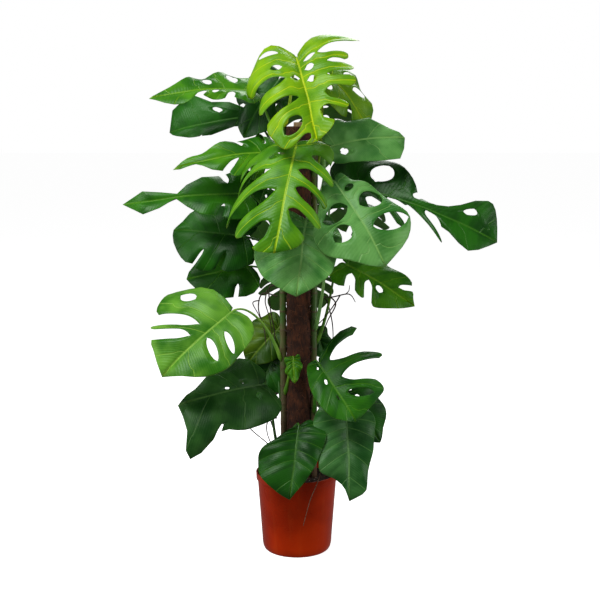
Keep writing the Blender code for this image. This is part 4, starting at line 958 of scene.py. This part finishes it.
         left_edge=((0.03, -0.05), (0.15, -0.10), (0.27, 0.0), (0.33, 0.12), (0.32, 0.25), (0.28, 0.40),
             (0.25, 0.52), (0.23, 0.65), (0.21, 0.78), (0.17, 0.91))),
    Leaf("leaf_right_fingers", (0.06, -0.08, 0.58), (0.165, -0.16, 0.43), (0.1, -0.85, 0.5),
         curl=0.5, right=PINHOLES, stem="right", height=0.42, tone="mid",
         right_edge=((0.04, -0.05), (0.12, -0.06), (0.20, 0.02), (0.27, 0.15), (0.32, 0.30), (0.34, 0.46),
             (0.33, 0.62), (0.28, 0.75), (0.20, 0.86), (0.10, 0.95)),
         left_edge=((0.05, -0.05), (0.45, -0.25), (0.88, -0.28), (0.60, 0.02), (0.78, 0.22), (0.92, 0.36),
             (0.72, 0.58), (0.62, 0.80), (0.42, 0.88), (0.18, 0.96)),
         left=((0.32, 0.25, 1.0, 0.075), (0.58, 0.22, 1.0, 0.06), (0.76, 0.20, 0.80, 0.045))),
    Leaf("leaf_right_shade", (0.145, 0.04, 0.47), (0.25, 0.02, 0.315), (0.3, -0.9, 0.2),
         wide=0.85, right_edge=BLUNT, left_edge=BLUNT, right=THREE, left=PINHOLES, stem="back", height=0.36,
         tone="dark"),
    Leaf("leaf_right_inner", (0.055, 0.09, 0.635), (0.085, 0.10, 0.545), (0.1, -0.95, 0.3),
         wide=0.8, stem="back", height=0.54, tone="dark"),
    Leaf("leaf_pole_small", (-0.01, -0.052, 0.585), (-0.005, -0.075, 0.515), (-0.1, -0.9, 0.3),
         wide=0.7, stem="left", height=0.48, tone="fresh"),
    Leaf("leaf_left_middle", (-0.095, 0.03, 1.19), (-0.175, 0.04, 1.10), (-0.2, -0.9, 0.4),
         wide=0.8, sag=0.4, right=PINHOLES, left=THREE, stem="left", height=1.04, tone="fresh"),
    Leaf("leaf_left_centre", (-0.09, 0.05, 1.07), (-0.135, 0.055, 0.95), (-0.2, -0.9, 0.4),
         wide=0.85, sag=0.4, left=THREE, stem="left", height=0.88, tone="dark"),
    Leaf("leaf_low_inner", (-0.07, 0.06, 0.56), (-0.135, 0.06, 0.42), (-0.2, -0.9, 0.3),
         wide=0.95, sag=0.4, left=PINHOLES, stem="left", height=0.43, tone="dark"),
    Leaf("leaf_back_high", (0.05, 0.15, 1.305), (0.085, 0.37, 1.10), (0.1, 0.7, 0.7),
         wide=0.9, sag=0.6, right=FOUR, left=FOUR, stem="back", height=1.18, tone="mid"),
    Leaf("leaf_back_left", (-0.10, 0.20, 1.005), (-0.23, 0.38, 0.81), (-0.4, 0.7, 0.6),
         wide=0.9, sag=0.6, right=FOUR, left=FOUR, stem="back", height=0.90, tone="mid"),
    Leaf("leaf_back_right", (0.12, 0.16, 1.015), (0.24, 0.36, 0.855), (0.4, 0.7, 0.6),
         wide=0.9, sag=0.6, right=FOUR, left=FOUR, stem="back", height=0.84, tone="mid"),
    Leaf("leaf_back_middle", (-0.005, 0.18, 0.78), (0.01, 0.38, 0.60), (0.0, 0.75, 0.6),
         wide=0.9, sag=0.6, right=FOUR, left=FOUR, stem="back", height=0.62, tone="dark"),
    Leaf("leaf_back_low", (-0.085, 0.15, 0.525), (-0.115, 0.35, 0.365), (-0.2, 0.8, 0.5),
         wide=0.85, sag=0.6, right=THREE, left=THREE, stem="back", height=0.38, tone="dark"),
    Leaf("leaf_back_foot", (0.085, 0.14, 0.435), (0.155, 0.33, 0.27), (0.3, 0.8, 0.5),
         wide=0.8, sag=0.6, stem="back", height=0.29, tone="mid"),
)

# The colours of each tone of leaf, by age and for the sheen ones: a painted shaded green, a painted lit
# green, and the veins. The bluish dusk, slate and grey tones also paint in the grey sheen that lamp light
# leaves on glossy leaves.
TONES = {
    "young": ((0.085, 0.260, 0.001), (0.220, 0.430, 0.002), (0.580, 0.700, 0.008)),
    "lime": ((0.060, 0.200, 0.001), (0.170, 0.350, 0.002), (0.320, 0.480, 0.006)),
    "bright": ((0.032, 0.160, 0.001), (0.105, 0.310, 0.004), (0.420, 0.620, 0.010)),
    "fresh": ((0.012, 0.110, 0.001), (0.065, 0.250, 0.002), (0.160, 0.360, 0.008)),
    "mid": ((0.003, 0.058, 0.001), (0.028, 0.170, 0.002), (0.080, 0.260, 0.008)),
    "dark": ((0.002, 0.034, 0.001), (0.014, 0.118, 0.002), (0.040, 0.160, 0.008)),
    "deep": ((0.002, 0.032, 0.001), (0.010, 0.090, 0.002), (0.045, 0.160, 0.008)),
    "pale": ((0.020, 0.140, 0.002), (0.140, 0.370, 0.028), (0.260, 0.500, 0.050)),
    # Dusk: a dark green with a painted grey sheen on it.
    "dusk_sheen": ((0.004, 0.042, 0.003), (0.034, 0.125, 0.018), (0.070, 0.180, 0.030)),
    "olive": ((0.018, 0.065, 0.001), (0.075, 0.150, 0.002), (0.120, 0.210, 0.008)),
    # Slate and grey: greens with a painted grey sheen of lamp light on them.
    "sheen_slate": ((0.006, 0.060, 0.006), (0.050, 0.170, 0.036), (0.110, 0.270, 0.060)),
    "grey": ((0.020, 0.135, 0.012), (0.140, 0.370, 0.085), (0.210, 0.440, 0.100)),
}
UNDER_PALE = (0.150, 0.300, 0.060)
LEAF_SHEEN = 0.28
LEAF_GLINT = (0.80, 1.0, 0.78, 1.0)
SLOT_OF_TONE = {"lime": "young", "bright": "young", "dusk_sheen": "dark", "pale": "fresh", "deep": "mid",
                "sheen_slate": "grey"}


def blade_finish(tone, under):
    """Leaf skin: painted light and shade in patches between a shaded and a lit green, painted shade along the
    lobe edges, paler on its veins, glossy above and dull below.
    """
    finish, shader, grow = new_finish("leaf_%s_%s" % (tone, "under" if under else "upper"))
    shade, light, vein = TONES[tone]
    if under:
        shade, light, vein = [tuple(a * 0.7 + b * 0.3 for a, b in zip(c, UNDER_PALE)) for c in TONES[tone]]
    mottle_and_painted_light = grow.speckle(14.0, 4.0)
    rib = grow.kept("rib").ramp(0.0042, 0.0012)
    side_vein = grow.kept("vein").ramp(0.0022, 0.0003)
    shader.inputs["Specular IOR Level"].default_value = LEAF_SHEEN
    shader.inputs["Specular Tint"].default_value = LEAF_GLINT
    fine = grow.node("ShaderNodeMath", {"operation": "SINE"}, {0: grow.kept("fine")}) * 0.5 + 0.5
    cloud = grow.speckle(7.0, 2.0).ramp(0.38, 0.60)
    # The mottle and cloud noises mix the painted shaded green with the painted lit green in patches: painted
    # light and shade.
    lamina = (mottle_and_painted_light.ramp(0.36, 0.62) * 0.55 + cloud * 0.35 + fine * 0.10).blend(shade, light)
    # Painted shade along the edges of each lobe strip, heavier on one side, in noisy patches.
    flank = grow.kept("flank")
    painted_groove_shade = (flank.ramp(0.62, 0.98) + flank.ramp(0.22, 0.0) * 0.5) * grow.speckle(22.0).ramp(0.35, 0.6)
    lamina = (painted_groove_shade * 0.55).blend(lamina, shade)
    lamina = (grow.kept("rim").ramp(0.0030, 0.0012) * 0.55).blend(lamina, vein)
    colour = (side_vein * 0.55).blend(lamina, vein)
    connect(shader, {"Base Color": (rib * 0.9).blend(colour, vein),
                     "Roughness": (0.55 if under else 0.30) + mottle_and_painted_light * 0.16},
            fine * 0.25 + side_vein * (1.0 if under else -1.0) + grow.speckle(220.0, 2.0) * 0.35, 0.0008)
    return finish


def stalk_finish(tone):
    """Stalk skin: smooth green with pale flecks, lightest on young leaves."""
    finish, shader, grow = new_finish("stalk_" + tone)
    # The stalk takes its tone's painted lit green; for the dusk, slate and grey tones that green holds a
    # painted grey sheen.
    light, vein = TONES[tone][1:]
    streak = grow.speckle(70.0, 3.0, (1.0, 1.0, 0.2))
    flecks = grow.speckle(420.0, 2.0).ramp(0.62, 0.72)
    colour = streak.ramp(0.3, 0.7).blend(light, vein)
    connect(shader, {"Base Color": (flecks * 0.4).blend(colour, vein),
                     "Roughness": 0.35 + streak * 0.2}, streak, 0.0006)
    return finish


def gap(cuts, place, v):
    """Half width of the opening on the cut line at place, v of the way out from the midrib."""
    wide = 0.0
    for at, inner, outer, half in cuts:
        if at != place or v <= inner or v >= outer and outer < 1.0:
            continue
        share = (v - inner) / (outer - inner)
        if outer >= 1.0:
            wide = max(wide, half * math.sin(math.pi / 2 * min(1.0, share * 3.0)) ** 0.7)
        else:
            wide = max(wide, half * math.sin(math.pi * share) ** 0.5)
    return wide


def matched(cuts, count):
    """The cuts with closed lines added in the widest stretches, until there are count places."""
    places = sorted({c[0] for c in cuts})
    extra = list(cuts)
    while len(places) < count:
        ends = [0.0] + places + [1.0]
        widest = max(range(len(ends) - 1), key=lambda i: ends[i + 1] - ends[i])
        place = (ends[widest] + ends[widest + 1]) / 2
        extra.append((place, 1.0, 1.0, 0.0))
        places = sorted(places + [place])
    return extra, places


def flat_point(leaf, length, side, t, v):
    """A point of the flat blade: across and along, in metres."""
    edge = (*(leaf.right_edge if side > 0 else leaf.left_edge), TIP)
    root = smooth(VEINS if len(edge) == len(VEINS) else LONG_VEINS, t)
    edge_across = smooth([across for across, along in edge], t) * leaf.wide
    edge_along = smooth([along for across, along in edge], t)
    rib = RIB_HALF_WIDTH * (1.05 - root)
    across = rib + (edge_across * length - rib) * v
    along = root + (edge_along - root) * v - 0.12 * v * (1 - v) * edge_across
    return side * max(across, 0.0), along * length


def leaf_frame(leaf):
    """Length of the blade along its midrib, and its axes: to the side, to the tip, and up."""
    foot = Vector(leaf.foot)
    chord = Vector(leaf.tip) - foot
    half = leaf.sag / 2
    length = chord.length * half / math.sin(half)
    ahead = chord.normalized()
    face = Vector(leaf.face)
    up = (face - ahead * face.dot(ahead)).normalized()
    along_axis = ahead * math.cos(half) + up * math.sin(half)
    up_axis = up * math.cos(half) - ahead * math.sin(half)
    return length, along_axis.cross(up_axis), along_axis, up_axis


def hang(leaf, length, axes, across, along, lift):
    """Where a flat point goes: rolled down from the midrib to each side, and bent along it."""
    side = 1.0 if across >= 0 else -1.0
    rate = leaf.curl * (1.0 if side > 0 else leaf.roll) / (0.5 * leaf.wide * length)
    lean = leaf.fold - rate * abs(across)
    x = (math.sin(leaf.fold) - math.sin(lean)) / rate
    h = (math.cos(lean) - math.cos(leaf.fold)) / rate
    x -= lift * math.sin(lean)
    h += lift * math.cos(lean)
    bend = leaf.sag / length
    nose = bend * along
    y = math.sin(nose) / bend + h * math.sin(nose)
    z = (math.cos(nose) - 1) / bend + h * math.cos(nose)
    side_axis, along_axis, up_axis = axes
    place = Vector(leaf.foot) + side_axis * (side * x) + along_axis * y + up_axis * z
    away = min(1.0, (place - Vector(leaf.foot)).length / (0.6 * length))
    return place + noise.noise_vector(place * 9.0) * (LEAF_WANDER * away)


def stalk_path(leaf, axes):
    """The stalk's axis from under the blade, past its foot, and down into the stem."""
    foot = Vector(leaf.foot)
    axis = stem_axis(leaf.stem, leaf.height)
    out = Vector((foot.x - axis.x, foot.y - axis.y, 0.0)).normalized()
    low = axis + out * (STEM_RADIUS + STALK_FOOT_RADIUS * 0.6)
    reach = (foot - low).length
    bend_high = foot - axes[1] * min(0.05, reach * 0.25)
    bend_low = low + out * (0.22 * reach) + Vector((0, 0, 0.5 * reach))
    path = []
    for k in range(STALK_RINGS + 1):
        t = k / STALK_RINGS
        s = 1 - t
        path.append(foot * s ** 3 + bend_high * (3 * s * s * t) + bend_low * (3 * s * t * t) + low * t ** 3)
    path.append(low - Vector((0, 0, 0.012)) - out * 0.004)
    return path


class Skin:
    """Collects the points of one blade by key, and the faces between them."""

    def __init__(self):
        self.index = {}
        self.flat = []
        self.lift = []
        self.depth = []
        self.numbers = []
        self.faces = []

    def point(self, key, flat, lift, depth, numbers):
        """The index of the point that the key names, which is added when it is new."""
        if key not in self.index:
            self.index[key] = len(self.flat)
            self.flat.append(flat)
            self.lift.append(lift)
            self.depth.append(depth)
            self.numbers.append(numbers)
        return self.index[key]

    def face(self, *corners):
        """Adds a face, without corners that fall together."""
        ring = [c for i, c in enumerate(corners) if c != corners[i - 1]]
        if len(ring) > 2:
            self.faces.append(tuple(ring))


def half_blade(skin, leaf, length, side, cuts, places, seed):
    """One half of the blade: a fan of strips between the cut lines. Returns its midrib points."""
    lines = [0.0] + places + [1.0]
    last = len(lines) - 2

    def corner(strip, column, row):
        """The index of one point of a strip's grid, with its quilting and its rippled edge."""
        v = row / BLADE_ROWS
        share = column / LOBE_COLUMNS
        start = gap(cuts, lines[strip], v)
        end = gap(cuts, lines[strip + 1], v)
        low = lines[strip] + start
        high = lines[strip + 1] - end
        t = low + (high - low) * share
        if strip == last and column == LOBE_COLUMNS:
            return skin.point("tip", (0.0, length), 0.0, BLADE_THICKNESS, (0.0,) * 5)
        if column == 0:
            key = (side, "line", strip, row, start > 0)
        elif column == LOBE_COLUMNS:
            key = (side, "line", strip + 1, row, "before" if end > 0 else False)
        else:
            key = (side, strip, column, row)
        off_start = max(0.0, 1 - 2 * share) ** 3 if gap(cuts, lines[strip], 1.0) > 0 else 0.0
        off_end = max(0.0, 2 * share - 1) ** 3 if gap(cuts, lines[strip + 1], 1.0) > 0 else 0.0
        reach = v * (1 - LOBE_ROUND * (off_start + off_end) * v ** 3)
        flat = flat_point(leaf, length, side, t, reach)
        wide = math.dist(*(flat_point(leaf, length, side, end, reach) for end in (low, high)))
        quilt = QUILT_HEIGHT * 4 * v * (1 - v) * abs(math.sin(math.pi * (share - 0.5))) ** 0.8
        window = min(1.0, 6 * t, 6 * (1 - t))
        ripple = EDGE_WAVE * v ** 3 * window * math.sin(2 * math.pi * 3.2 * t + seed)
        numbers = (abs(flat[0]), abs(share - 0.5) * wide, (t * 60 + v) * 2 * math.pi, (1 - v) * length, share)
        return skin.point(key, flat, quilt + ripple, BLADE_THICKNESS, numbers)

    roots = []
    for strip in range(last + 1):
        for column in range(LOBE_COLUMNS):
            for row in range(BLADE_ROWS):
                ring = (corner(strip, column, row), corner(strip, column + 1, row),
                        corner(strip, column + 1, row + 1), corner(strip, column, row + 1))
                skin.face(*(ring if side > 0 else ring[::-1]))
            roots.append(corner(strip, column, 0))
    roots.append(corner(last, LOBE_COLUMNS, 0))
    return roots


def grow_leaf(leaf, seed, finishes):
    """The blade as a thin closed skin, with the midrib and stalk as one tapering rod."""
    length, *axes = leaf_frame(leaf)
    count = max(len({c[0] for c in leaf.right}), len({c[0] for c in leaf.left})) or PLAIN_LINES
    skin = Skin()
    right = half_blade(skin, leaf, length, 1, *matched(leaf.right, count), seed)
    left = half_blade(skin, leaf, length, -1, *matched(leaf.left, count), seed + 2.0)
    middle = []
    for k in range(len(right) - 1):
        along = (skin.flat[right[k]][1] + skin.flat[left[k]][1]) / 2
        depth = BLADE_THICKNESS + RIB_DEPTH * (1 - along / length)
        middle.append(skin.point(("middle", k), (0.0, along), 0.0, depth, (0.0, 0.0, 0.0, length, 0.5)))
    middle.append(right[-1])
    for k in range(len(middle) - 1):
        skin.face(middle[k], middle[k + 1], right[k + 1], right[k])
        skin.face(left[k], left[k + 1], middle[k + 1], middle[k])

    count = len(skin.flat)
    points = [hang(leaf, length, axes, a, b, lift) for (a, b), lift in zip(skin.flat, skin.lift)]
    points += [hang(leaf, length, axes, a, b, lift - depth)
               for (a, b), lift, depth in zip(skin.flat, skin.lift, skin.depth)]
    faces = list(skin.faces)
    faces += [tuple(i + count for i in reversed(face)) for face in skin.faces]
    kinds = [0] * len(skin.faces) + [1] * len(skin.faces)
    used = {(face[i - 1], face[i]) for face in skin.faces for i in range(len(face))}
    for a, b in sorted(used):
        if (b, a) not in used:
            faces.append((b, a, a + count, b + count))
            kinds.append(1)
    numbers = skin.numbers + skin.numbers

    path = []
    for k in range(12, 0, -1):
        along = length * 0.94 * k / 12
        sink = 0.35 * (0.0004 + 0.0024 * (1 - k / 12))
        path.append(hang(leaf, length, axes, 0.0, along, -sink - BLADE_THICKNESS * 0.5))
    path += stalk_path(leaf, axes)
    radii = [0.0004 + 0.0024 * (1 - k / 12) for k in range(12, 0, -1)]
    for k in range(STALK_RINGS + 1):
        t = k / STALK_RINGS
        knuckle = 0.0007 * math.exp(-((t - 0.05) / 0.04) ** 2)
        flare = 0.0016 * max(0.0, (t - 0.85) / 0.15)
        radii.append(STALK_TOP_RADIUS + (STALK_FOOT_RADIUS - STALK_TOP_RADIUS) * t ** 2 + knuckle + flare)
    radii.append(STALK_FOOT_RADIUS * 0.5)
    rod = tube(path, radii, STALK_SIDES, axes[0])
    join_shape(points, faces, rod)
    kinds += [2] * len(rod[1])
    numbers += [(0.0,) * 5] * len(rod[0])

    piece = add_mesh(leaf.name.replace("leaf_", "grown_leaf_"), points, faces, finishes, kinds)
    for i, name in enumerate(("rib", "vein", "fine", "rim", "flank")):
        keep_numbers(piece, name, [n[i] for n in numbers])
    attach(piece, "root")
    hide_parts(leaf.name)
    "leaf_" + SLOT_OF_TONE.get(leaf.tone, leaf.tone)


leaf_finishes = {tone: [blade_finish(tone, False), blade_finish(tone, True), stalk_finish(tone)]
                 for tone in TONES}
for number, leaf in enumerate(LEAVES):
    grow_leaf(leaf, number * 1.7, leaf_finishes[leaf.tone])

# ---------------------------------------------------------------- sizes
low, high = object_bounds()
